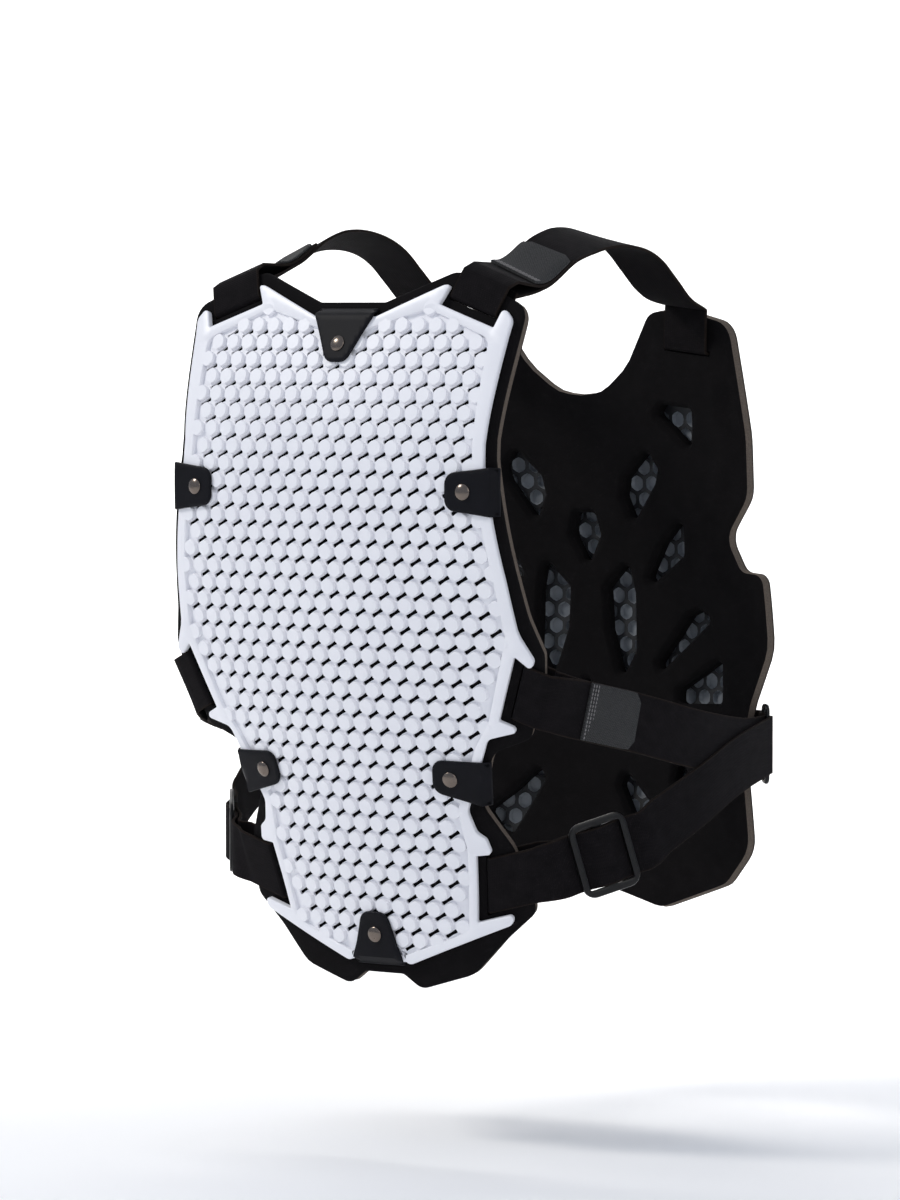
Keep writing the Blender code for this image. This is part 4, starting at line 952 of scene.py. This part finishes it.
def riveted_tab(row, side):
    """One tab and its rivet, on the wearer's left, right or middle."""
    outline, rivet, heading, edge = tab_outline(row, front_shell_outline())

    def place(spot, height):
        beyond = (spot - rivet).dot(heading) - edge - FOLD_START
        low = CREST + TAB_SEAT - eased(beyond / FOLD) * (CREST - 0.0002)
        return FRONT.skin(spot.x, spot.y, low + height)

    outline = stepped(outline, 0.002)
    shape, _, _ = plate(outline, TAB_ROWS, [], place, grid([outline], *TAB_GRID))
    suffix = {1: "_left", -1: "_right"}[side] if row[1] else ""
    tongue = piece(f"{row[0]}_tongue{suffix}", shape, [rubber], side=side)
    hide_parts(f"{row[0]}_tab{suffix}")

    centre, along, _, outward = FRONT.frame(rivet, Vector((1, 0)))
    shape = bmesh.new()
    verts = [shape.verts.new(centre + along * (share * RIVET_CAP / 2)
                             + outward * (CREST + TAB_SEAT + TAB + height))
             for share, height in RIVET_ROWS]
    lines = [shape.edges.new(pair) for pair in zip(verts, verts[1:])]
    bmesh.ops.spin(shape, geom=verts + lines, cent=centre, axis=outward, steps=RIVET_STEPS,
                   angle=2 * math.pi, use_merge=True)
    bmesh.ops.remove_doubles(shape, verts=shape.verts, dist=1e-6)
    bmesh.ops.holes_fill(shape, edges=[e for e in shape.edges if e.is_boundary])
    head = piece(f"{row[0]}_rivet_head{suffix}", shape, [nickel], side=side)
    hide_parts(f"{row[0]}_rivet{suffix}")


for row in TABS:
    for side in (1, -1) if row[1] else (1,):
        riveted_tab(row, side)

# Shoulder straps: knitted elastic, threaded through a slot at the chest, folded back and
# held by a stitched hook patch, and sewn round the rear liner's slot.
STRAP = 0.002
STRAP_EASE = 0.0010
SHOULDER_ARCH = 0.039
SHOULDER_TILT = math.radians(25)
STRAP_TAIL = 0.095
HOOK_PATCH = 0.0016
HOOK_PATCH_LENGTH = 0.046
HOOK_CORNER = 0.006
TAPER = 0.035
RUN_STEP = 0.004
WEAVE_STEP = 0.002
# Routes of the free runs: share of the way, share of the bulge or arch, share of the droop
SHOULDER_RUN = ((0.16, 0.18, 0), (0.328, 0.74, 0), (0.508, 1.0, 0), (0.695, 0.86, 0),
                (0.894, 0.15, 0))
WAIST_RUN = ((0.084, 0.25, -0.20), (0.33, 0.79, -0.42), (0.549, 1.0, -0.65),
             (0.823, 0.56, -0.48))
LOWER_RUN = ((0.047, 0.575, 0.20), (0.208, 0.985, 0.25), (0.472, 0.99, 0.75),
             (0.731, 0.59, 0.75))

DOWN = Vector((0, 0, -1))
SIDEWAYS = Vector((1, 0, 0))


def curve_through(keys, spacing):
    """Evenly read smooth curve through key points."""
    line = []
    for index in range(len(keys) - 1):
        start, end = keys[index], keys[index + 1]
        before = keys[max(index - 1, 0)]
        after = keys[min(index + 2, len(keys) - 1)]
        span = (end - start).length
        lead = (end - before).normalized() * span
        trail = (after - start).normalized() * span
        steps = max(1, round(span / spacing))
        for step in range(steps):
            line.append(hermite(step / steps, start, lead, end, trail))
    return line + [keys[-1]]


def arc(centre, start, toward, radius, turn, steps):
    """Points on an arc from direction start, turning toward another direction."""
    return [centre + (start * math.cos(turn * i / steps) + toward * math.sin(turn * i / steps))
            * radius for i in range(steps + 1)]


class Anchor:
    """Where a strap loops round the liner's margin beside a slot."""

    def __init__(self, slot, outline):
        self.slot = slot
        self.inner = THREAD_FIT + SLOT_OPENING
        self.edge = edge_reach(outline, slot.centre, slot.out)
        self.liner = FRONT_LINER if slot.panel is FRONT else REAR_LINER
        self.spread = self.liner / 2 + STRAP_EASE + STRAP / 2

    def margin(self):
        """Middle line from the slot out past the liner's edge, with outward normals."""
        reach = self.edge + 2 * STRAP
        steps = max(2, round((reach - self.inner) / 0.006))
        line = []
        for step in range(steps + 1):
            out = self.inner + (reach - self.inner) * step / steps
            along, _, outward = self.slot.axes(out)
            line.append((self.slot.solid_at(out, -self.liner / 2), along, outward))
        return line

    def turn(self):
        """Path through the slot, from over the liner to behind it."""
        along, out, outward = self.slot.axes(self.inner)
        radius = STRAP_EASE + STRAP / 2
        front = self.slot.solid_at(self.inner, 0)
        back = self.slot.solid_at(self.inner, -self.liner)
        points = (arc(front, outward, -out, radius, math.pi / 2, 3)
                  + arc(back, -out, -outward, radius, math.pi / 2, 3))
        return [(point, along) for point in points]


def doubled(line, spread):
    """Outer and inner layers of a folded strap, closing up along its middle line."""
    close = (STRAP + GAP) / 2
    outer, inner, run = [], [], 0.0
    for index, (point, width, outward) in enumerate(line):
        run += (point - line[index - 1][0]).length if index else 0.0
        share = spread(run)
        outer.append((point + outward * (close + share), width))
        inner.append((point - outward * (close + share), width))
    return outer, inner


def cut_to(stations, length):
    """The first stations of a band, up to about a length along it."""
    run, kept = 0.0, [stations[0]]
    for previous, station in zip(stations, stations[1:]):
        step = (station[0] - previous[0]).length
        if run + step / 2 > length:
            break
        run += step
        kept.append(station)
    return kept


def perpendicular(direction, tangent):
    """Unit part of a direction that lies across a tangent."""
    return (direction - tangent * direction.dot(tangent)).normalized()


def run_line(keys, first_width, width_rule, last_width, spacing=RUN_STEP, settle=STRAP_WIDTH):
    """Stations of point, unit width and outward normal along a curve through keys."""
    line = curve_through(keys, spacing)
    length = sum((b - a).length for a, b in zip(line, line[1:]))
    found, run = [], 0.0
    for index, point in enumerate(line):
        run += (point - line[index - 1]).length if index else 0.0
        before, after = beside(line, index)
        tangent = (after - before).normalized()
        width = perpendicular(width_rule(run / length), tangent)
        start, end = max(0.0, 1 - run / settle), max(0.0, 1 - (length - run) / settle)
        width = width.lerp(first_width, start).lerp(last_width, end).normalized()
        found.append((point, width, width.cross(tangent).normalized()))
    return found


def between(start, end, rows, side, bulge, lift):
    """Keys from rows of way share, bulge share and lift share between two points."""
    return [start + (end - start) * way + side * (bulge * out) + Vector((0, 0, lift * up))
            for way, out, up in rows]


def full(stations):
    """Give unit widths the strap's width."""
    return [(point, width.normalized() * STRAP_WIDTH) for point, width in stations]


def closing(anchor, margin_length):
    """How far apart the two layers lie, beyond touching, along the folded strap."""
    apart = anchor.spread - (STRAP + GAP) / 2

    def spread(run):
        return apart * min(1.0, max(0.0, 1 - (run - margin_length) / TAPER))
    return spread


def line_length(line):
    """Length of a line of stations."""
    return sum((b[0] - a[0]).length for a, b in zip(line, line[1:]))


def shoulder_strap(outline, rear_outline):
    """Stations of the shoulder strap, from its tail's end to the lap sewn at the rear."""
    anchor = Anchor(SHOULDER_SLOT, outline)
    rear = Anchor(REAR_SLOT, rear_outline)
    margin = anchor.margin()
    over = rear.edge + 2 * STRAP
    along, out, outward = REAR_SLOT.axes(over)
    behind = -REAR_LINER - STRAP_EASE - STRAP / 2
    landing = REAR_SLOT.solid_at(over, behind) + outward * (STRAP + GAP) / 2
    start = margin[-1][0]

    def tilted(share):
        """Width across the sloping shoulder, level again where the strap drops behind."""
        turn = SHOULDER_TILT * (1 - min(max((share - 0.40) / 0.35, 0.0), 1.0))
        return Vector((math.cos(turn), 0, -math.sin(turn)))

    keys = [start, *between(start, landing, SHOULDER_RUN, -DOWN, SHOULDER_ARCH, 0.0), landing]
    free = run_line(keys, margin[-1][1], tilted, along)
    line = margin + free[1:]
    outer, inner = doubled(line, closing(anchor, line_length(margin)))
    tail = list(reversed(cut_to(outer, STRAP_TAIL)))
    reach = THREAD_FIT + SLOT_OPENING
    corner = STRAP_EASE + STRAP / 2
    along, out, outward = REAR_SLOT.axes(reach)
    lap = [(REAR_SLOT.solid_at(over * (1 - i / 3) + reach * i / 3, behind), along)
           for i in range(1, 3)]
    inner_edge = REAR_SLOT.solid_at(reach, -REAR_LINER)
    lap += [(p, along) for p in arc(inner_edge, -outward, -out, corner, math.pi / 2, 3)]
    outside = (REAR_SLOT.solid_at(reach, 0) - out * (corner + STRAP)
               + outward * (corner - STRAP))
    lap += [(p, along) for p in arc(outside, out, outward, STRAP, math.pi / 2, 3)]
    lap += [(REAR_SLOT.solid_at(-SEWN_LAP * i / 3, corner), REAR_SLOT.axes(0)[0])
            for i in range(1, 4)]
    return full(tail + anchor.turn() + inner + lap), full(tail)


# Width of a patch as a share of its strap's
PATCH_WIDTH = 0.97


def raised(stations, lift):
    """Stations moved off a band along its normal, and made a little narrower."""
    result = []
    for index, (point, width) in enumerate(stations):
        before, after = beside(stations, index)
        normal = (after[0] - before[0]).cross(width).normalized()
        result.append((point + normal * lift, width * PATCH_WIDTH))
    return result


def math_node(tree, operation, *values):
    """Result of one calculation in the shader."""
    return add(tree, "ShaderNodeMath", dict(enumerate(values)), operation=operation).outputs[0]


def waves(tree, distance, pitch):
    """Height of waves a pitch apart."""
    return math_node(tree, "SINE", math_node(tree, "MULTIPLY", distance, 2 * math.pi / pitch))


# Knitted elastic: ribs across the strap 1.3 mm apart and rows of chain loops along it 2 mm
# apart, dull black with a cloudy nap, and a slightly browner selvedge at both edges.
elastic, tree, shader = finish("knitted elastic", "0b0a0b", 0.9, specular=0.1)
weave = add(tree, "ShaderNodeUVMap", uv_map="weave").outputs["UV"]
across, along, _ = add(tree, "ShaderNodeSeparateXYZ", {"Vector": weave}).outputs
ribs, chains = waves(tree, along, 0.0013), waves(tree, across, 0.0020)
selvedge = add(tree, "ShaderNodeMapRange", {"Value": math_node(tree, "ABSOLUTE", across),
                                            "From Min": 0.0186, "From Max": 0.0194})
fuzz = tinted(tree, shader, noise(tree, 120.0, 5.0), "090809", "191618")
tinted(tree, shader, selvedge.outputs["Result"], fuzz, "1d1714")
embossed(tree, shader, math_node(tree, "MULTIPLY_ADD", chains, 0.6, ribs), 0.35, 0.0002)

# Hook tape: leaning rows of stiff hooks 1.0 by 1.8 mm apart, grey tips over a black ground. The
# colour follows the relief, as painted highlight on the tips and painted shade between them.
hook, tree, shader = finish("hook tape", "2a2a2a", 0.8, specular=0.15)
weave = add(tree, "ShaderNodeUVMap", uv_map="weave").outputs["UV"]
leaning = add(tree, "ShaderNodeMapping", {"Vector": weave, "Rotation": (0, 0, math.radians(35)),
                                          "Scale": (1 / 0.0010, 1 / 0.0018, 1)})
hooks = add(tree, "ShaderNodeTexVoronoi", {"Vector": leaning.outputs["Vector"], "Scale": 1.0,
                                           "Randomness": 0.25}).outputs["Distance"]
# Painted highlight and shade: tips lighter and the ground darker, by the same relief as the
# bump.
tinted(tree, shader, hooks, "484848", "0c0c0c")
embossed(tree, shader, hooks, 0.8, 0.0006, invert=True)

# Sewing thread: mid grey, with its twist as a fine grain.
thread, tree, shader = finish("polyester thread", "777474", 0.7)
embossed(tree, shader, noise(tree, 2500.0), 0.4, 0.0001)

# A band's cross-section: shares of its half width and half thickness
BAND_SECTION = ((-0.98, -1), (-0.5, -1), (0, -1), (0.5, -1), (0.98, -1), (1, -0.45), (1, 0.45),
                (0.98, 1), (0.5, 1), (0, 1), (-0.5, 1), (-0.98, 1), (-1, 0.45), (-1, -0.45))


def tube(shape, rings):
    """Walls along rings of vertices, closed at both ends."""
    for first, second in zip(rings, rings[1:]):
        wall(shape, first, second)
    shape.faces.new(rings[0])
    shape.faces.new(rings[-1])


def band(name, stations, thickness, material, side, corner=0.0):
    """Flat band with rounded edges through stations of point and full width vector, whose
    first end may have rounded corners. Its map holds metres across and along it."""
    shape = bmesh.new()
    weave = shape.loops.layers.uv.new("weave")
    rings, laid, run = [], {}, 0.0
    for index, (point, width) in enumerate(stations):
        before, after = (station[0] for station in beside(stations, index))
        run += (point - before).length
        normal = (after - before).cross(width).normalized() * (thickness / 2)
        narrow = 1.0
        if run < corner:
            cut = corner - math.sqrt(corner ** 2 - (corner - run) ** 2)
            narrow = 1 - cut / (width.length / 2)
        ring = []
        for a, b in BAND_SECTION:
            vert = shape.verts.new(point + width / 2 * (a * narrow) + normal * b)
            laid[vert] = (a * narrow * width.length / 2, run)
            ring.append(vert)
        rings.append(ring)
    tube(shape, rings)
    for face in shape.faces:
        for loop in face.loops:
            loop[weave].uv = laid[loop.vert]
    return piece(name, shape, [material], sharp=50, side=side)


# Stitches: half length, thickness of the thread, how far the middle stands up, and pitch
STITCH = 0.0011
STITCH_RADIUS = 0.00045
STITCH_RISE = 0.0003
STITCH_PITCH = 0.0027
STITCHES = 14
# How far the stitched rows lie from the patch's slot end
SEAMS = (0.0016, 0.0040, 0.0064)


def stitches(name, rows, side):
    """Raised stitches, from rows of point, direction and outward normal."""
    shape = bmesh.new()
    for point, way, up in rows:
        across = way.cross(up).normalized()
        rings = []
        for share, girth in ((-1.0, 0.35), (-0.5, 1.0), (0.5, 1.0), (1.0, 0.35)):
            centre = point + way * (share * STITCH) + up * (STITCH_RISE * (1 - abs(share)))
            rings.append([shape.verts.new(centre + (across * math.cos(t) + up * math.sin(t))
                                          * (girth * STITCH_RADIUS))
                          for t in (math.pi / 3 * i for i in range(6))])
        tube(shape, rings)
    return piece(name, shape, [thread], side=side)


def patch_rows(stations, lift):
    """Rows of stitches across a patch's slot end."""
    point, width = stations[-1]
    before = stations[-2][0]
    way = (before - point).normalized()
    up = (point - before).cross(width).normalized()
    across = width.normalized()
    return [(point + way * seam + across * ((i - (STITCHES - 1) / 2) * STITCH_PITCH)
             + up * lift, across, up) for seam in SEAMS for i in range(STITCHES)]


def fitted_strap(kind, stations, tail, side, suffix):
    """One strap, the hook patch on its tail, and the patch's stitching."""
    strap = band(f"{kind}_elastic_{suffix}", stations, STRAP, elastic, side)
    lift = STRAP / 2 + THREAD_FIT + HOOK_PATCH / 2
    hold = raised(cut_to(tail, HOOK_PATCH_LENGTH), lift)
    patch = band(f"{kind}_hook_{suffix}", hold, HOOK_PATCH, hook, side, corner=HOOK_CORNER)
    seam = stitches(f"{kind}_stitching_{suffix}", patch_rows(hold, HOOK_PATCH / 2 + 0.0001),
                    side)
    return strap, patch, seam


stations, tail = shoulder_strap(front_cut, rear_cut)
for side, suffix in ((1, "left"), (-1, "right")):
    strap, patch, seam = fitted_strap("shoulder", stations, tail, side, suffix)
    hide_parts(f"shoulder_strap_{suffix}")
    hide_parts(f"shoulder_patch_{suffix}")

# Waist straps: one length of the same elastic on each side, from the middle slot back round
# a wire ring, forward through a slider, and round the lower slot.
WAIST_BULGE = 0.0216
LOWER_BULGE = 0.039
WAIST_DROOP = 0.013
SLIDER_LENGTH = 0.042
SLIDER_BAR = 0.005
SLIDER_THICKNESS = 0.0030
SLIDER_PLACE = 0.080
RING_SPREAD = 0.352
RING_DROP = 0.349
RING_BACK = 0.125
RING_LENGTH = 0.017
RING_BAR = 0.0034
RING_FIT = 0.009
WIRE_SIDES = 12
RING_WEBBING = 0.0016
# Where the sewn webbing lies on the rear shell, in shares of its half width
WEBBING_LAP = (0.66, 0.73, 0.80, 0.895)


def ring_axes(shell_side):
    """Ring's front bar, direction from it to the webbing, and the outward side."""
    front = Vector((RING_SPREAD / 2, RING_BACK, -RING_DROP))
    back = shell_side - front
    back.z = 0
    back.normalize()
    return front, back, Vector((back.y, -back.x, 0))


def waist_strap(outline, front, back, side):
    """Stations of the waist strap, its tail and the slider's place."""
    wrap = RING_BAR / 2 + GAP + STRAP / 2
    close = (STRAP + GAP) / 2
    upper, lower = Anchor(MIDDLE_SLOT, outline), Anchor(LOWER_SLOT, outline)

    def run(anchor, rows, bulge, end, spacing):
        margin = anchor.margin()
        start = margin[-1][0]
        keys = [start, *between(start, end, rows, SIDEWAYS, bulge, WAIST_DROOP), end]
        return margin, margin + run_line(keys, margin[-1][1], lambda share: DOWN, DOWN,
                                         spacing)[1:]

    margin, line = run(upper, WAIST_RUN, WAIST_BULGE, front - side * (wrap - close), RUN_STEP)
    outer, inner = doubled(line, closing(upper, line_length(margin)))
    tail = list(reversed(cut_to(outer, STRAP_TAIL)))
    hairpin = [(p, DOWN) for p in arc(front, -side, back, wrap, math.pi, 6)][1:-1]
    margin, line = run(lower, LOWER_RUN, LOWER_BULGE, front + side * (wrap - close),
                       WEAVE_STEP)
    line, slider = straightened(line)
    line = [station for index, station in enumerate(line)
            if index < len(margin) or (len(line) - 1 - index) % 2 == 0
            or abs((station[0] - slider[0]).dot(slider[1])) < SLIDER_LENGTH * 0.7]
    outer, inner_end = threaded(line, slider, closing(lower, line_length(margin)))
    whole = (tail + upper.turn() + inner + hairpin + list(reversed(outer))
             + lower.turn() + inner_end)
    return full(whole), full(tail), slider


def straightened(line):
    """Make the run straight where the slider sits, and give the slider's axes."""
    runs = [0.0]
    for before, after in zip(line, line[1:]):
        runs.append(runs[-1] + (after[0] - before[0]).length)
    nearest = min(range(len(runs)), key=lambda i: abs(runs[i] - SLIDER_PLACE))
    centre, width, outward = line[nearest]
    tangent = (line[nearest + 1][0] - line[nearest - 1][0]).normalized()
    width = perpendicular(width, tangent)
    outward = width.cross(tangent)
    half = SLIDER_LENGTH / 2
    result = []
    for run, (point, own_width, own_outward) in zip(runs, line):
        offset = run - runs[nearest]
        weight = eased((half * 2.2 - abs(offset)) / (half * 0.9))
        straight = centre + tangent * offset
        result.append((point.lerp(straight, weight), own_width.lerp(width, weight).normalized(),
                       own_outward.lerp(outward, weight).normalized()))
    return result, (centre, tangent, width, outward)


def threaded(line, slider, spread):
    """Outer layer that weaves through the slider, and the inner layer that ends on it."""
    centre, tangent = slider[0], slider[1]
    end_bar = (SLIDER_LENGTH - SLIDER_BAR) / 2
    lift = (SLIDER_THICKNESS + STRAP) / 2 + THREAD_FIT * 1.5
    beneath = lift + STRAP + 2 * THREAD_FIT
    close = (STRAP + GAP) / 2
    outer, inner, run = [], [], 0.0
    for index, (point, width, outward) in enumerate(line):
        run += (point - line[index - 1][0]).length if index else 0.0
        offset = (point - centre).dot(tangent)
        far = min(1.0, max(0.0, (abs(offset) - end_bar - SLIDER_BAR) / SLIDER_LENGTH * 2.5))
        weave = lift * math.cos(math.pi * min(abs(offset), end_bar) / end_bar)
        height = weave * (1 - far) + (close + spread(run)) * far
        outer.append((point + outward * height, width))
        if offset < SLIDER_BAR * 0.6:
            rise = min(1.0, max(0.0, (offset + end_bar) / (end_bar - SLIDER_BAR)))
            depth = beneath + (lift - beneath) * rise
            depth = depth * (1 - far) + (close + spread(run)) * far
            inner.append((point - outward * depth, width))
    return outer, inner


# Hard plastic of the sliders: black, with a low sheen that a fine grain breaks up.
acetal, tree, shader = finish("moulded acetal", "0c0b0b", 0.32, specular=0.3)
grain = noise(tree, 700.0, 3.0)
polished(tree, shader, grain, 0.24, 0.42)
embossed(tree, shader, grain, 0.1, 0.0001)

# Coating on the rings' wire: smoother and shinier than the sliders, with a faint grain.
wire, tree, shader = finish("black coated wire", "0b0a0a", 0.25, specular=0.3)
embossed(tree, shader, noise(tree, 900.0, 3.0), 0.1, 0.0001)

HALF_SLIDER = SLIDER_THICKNESS / 2
SLIDER_ROWS = ((0.0012, HALF_SLIDER, 0), (0.0004, HALF_SLIDER - 0.0003, 0),
               (0.0, HALF_SLIDER - 0.0011, 0), (0.0, 0.0011 - HALF_SLIDER, 0),
               (0.0004, 0.0003 - HALF_SLIDER, 0), (0.0012, -HALF_SLIDER, 0))


def slider_shape(slider):
    """Flat frame with two windows, whose middle bar the strap runs over."""
    centre, tangent, width, outward = slider
    across = STRAP_WIDTH / 2 + THREAD_FIT
    half = SLIDER_LENGTH / 2

    def box(start, end, wide, share):
        return stepped(rounded([(Vector((x, y)), share) for x, y in
                                ((start, wide), (end, wide), (end, -wide), (start, -wide))]))

    windows = [box(SLIDER_BAR / 2, half - SLIDER_BAR, across, 0.15),
               box(SLIDER_BAR - half, -SLIDER_BAR / 2, across, 0.15)]
    return plate(box(-half, half, across + THREAD_FIT + SLIDER_BAR, 0.9), SLIDER_ROWS,
                 [(window, SLIDER_ROWS) for window in windows],
                 lambda spot, height: (centre + tangent * spot.x + width * spot.y
                                       + outward * height), [])[0]


def ring_shape(front, back):
    """Rectangular wire ring with rounded corners, standing upright."""
    tall = STRAP_WIDTH / 2 + RING_FIT / 2 + RING_BAR / 2
    long = RING_LENGTH - RING_BAR
    loop = stepped(rounded([(Vector((x, y)), 0.4) for x, y in
                            ((0, tall), (long, tall), (long, -tall), (0, -tall))]), 0.003)
    side = Vector((back.y, -back.x, 0))
    shape = bmesh.new()
    rings = []
    for index, corner in enumerate(loop):
        ahead = (loop[(index + 1) % len(loop)] - loop[index - 1]).normalized()
        away = Vector((ahead.y, -ahead.x))
        ring = []
        for step in range(WIRE_SIDES):
            angle = 2 * math.pi * (step + 0.5) / WIRE_SIDES
            spot = corner + away * (math.cos(angle) * RING_BAR / 2)
            ring.append(shape.verts.new(front + back * spot.x + Vector((0, 0, spot.y))
                                        + side * (math.sin(angle) * RING_BAR / 2)))
        rings.append(ring)
    for first, second in zip(rings, rings[1:] + rings[:1]):
        wall(shape, first, second)
    return shape


def webbing_stations(front, back, side):
    """Webbing from the rear shell's face, round the ring's rear bar and back."""
    wrap = RING_BAR / 2 + GAP + RING_WEBBING / 2
    close = (RING_WEBBING + GAP) / 2
    bar = front + back * (RING_LENGTH - RING_BAR)
    rest = SHELL + SHELL_SEAT + GAP + RING_WEBBING + GAP / 2
    lap = []
    for share in WEBBING_LAP:
        flat = Vector((share * REAR.half, -RING_DROP))
        _, along, _, outward = REAR.frame(flat, Vector((0, -1)))
        lap.append((REAR.skin(flat.x, flat.y, rest), along, outward))
    outer = [(point + outward * close, along) for point, along, outward in lap]
    inner = [(point - outward * close, along) for point, along, outward in lap]
    turn = [(p, DOWN) for p in arc(bar, side, -back, wrap, math.pi, 6)]
    stations = outer + turn + list(reversed(inner))
    return [(point, width * (STRAP_WIDTH + RING_FIT / 3)) for point, width in stations]


shell_side = REAR.skin(WEBBING_LAP[-1] * REAR.half, -RING_DROP, SHELL)
front, back, outer_side = ring_axes(shell_side)
stations, tail, slider = waist_strap(front_cut, front, back, outer_side)
for side, suffix in ((1, "left"), (-1, "right")):
    strap, patch, seam = fitted_strap("waist", stations, tail, side, suffix)
    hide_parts(f"waist_strap_{suffix}")
    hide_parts(f"waist_patch_{suffix}")
    made = piece(f"slider_frame_{suffix}", slider_shape(slider), [acetal], side=side)
    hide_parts(f"slider_{suffix}")
    made = piece(f"wire_ring_{suffix}", ring_shape(front, back), [wire], side=side)
    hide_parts(f"ring_{suffix}")
    made = band(f"ring_tape_{suffix}", webbing_stations(front, back, outer_side), RING_WEBBING,
                elastic, side)
    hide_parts(f"ring_webbing_{suffix}")
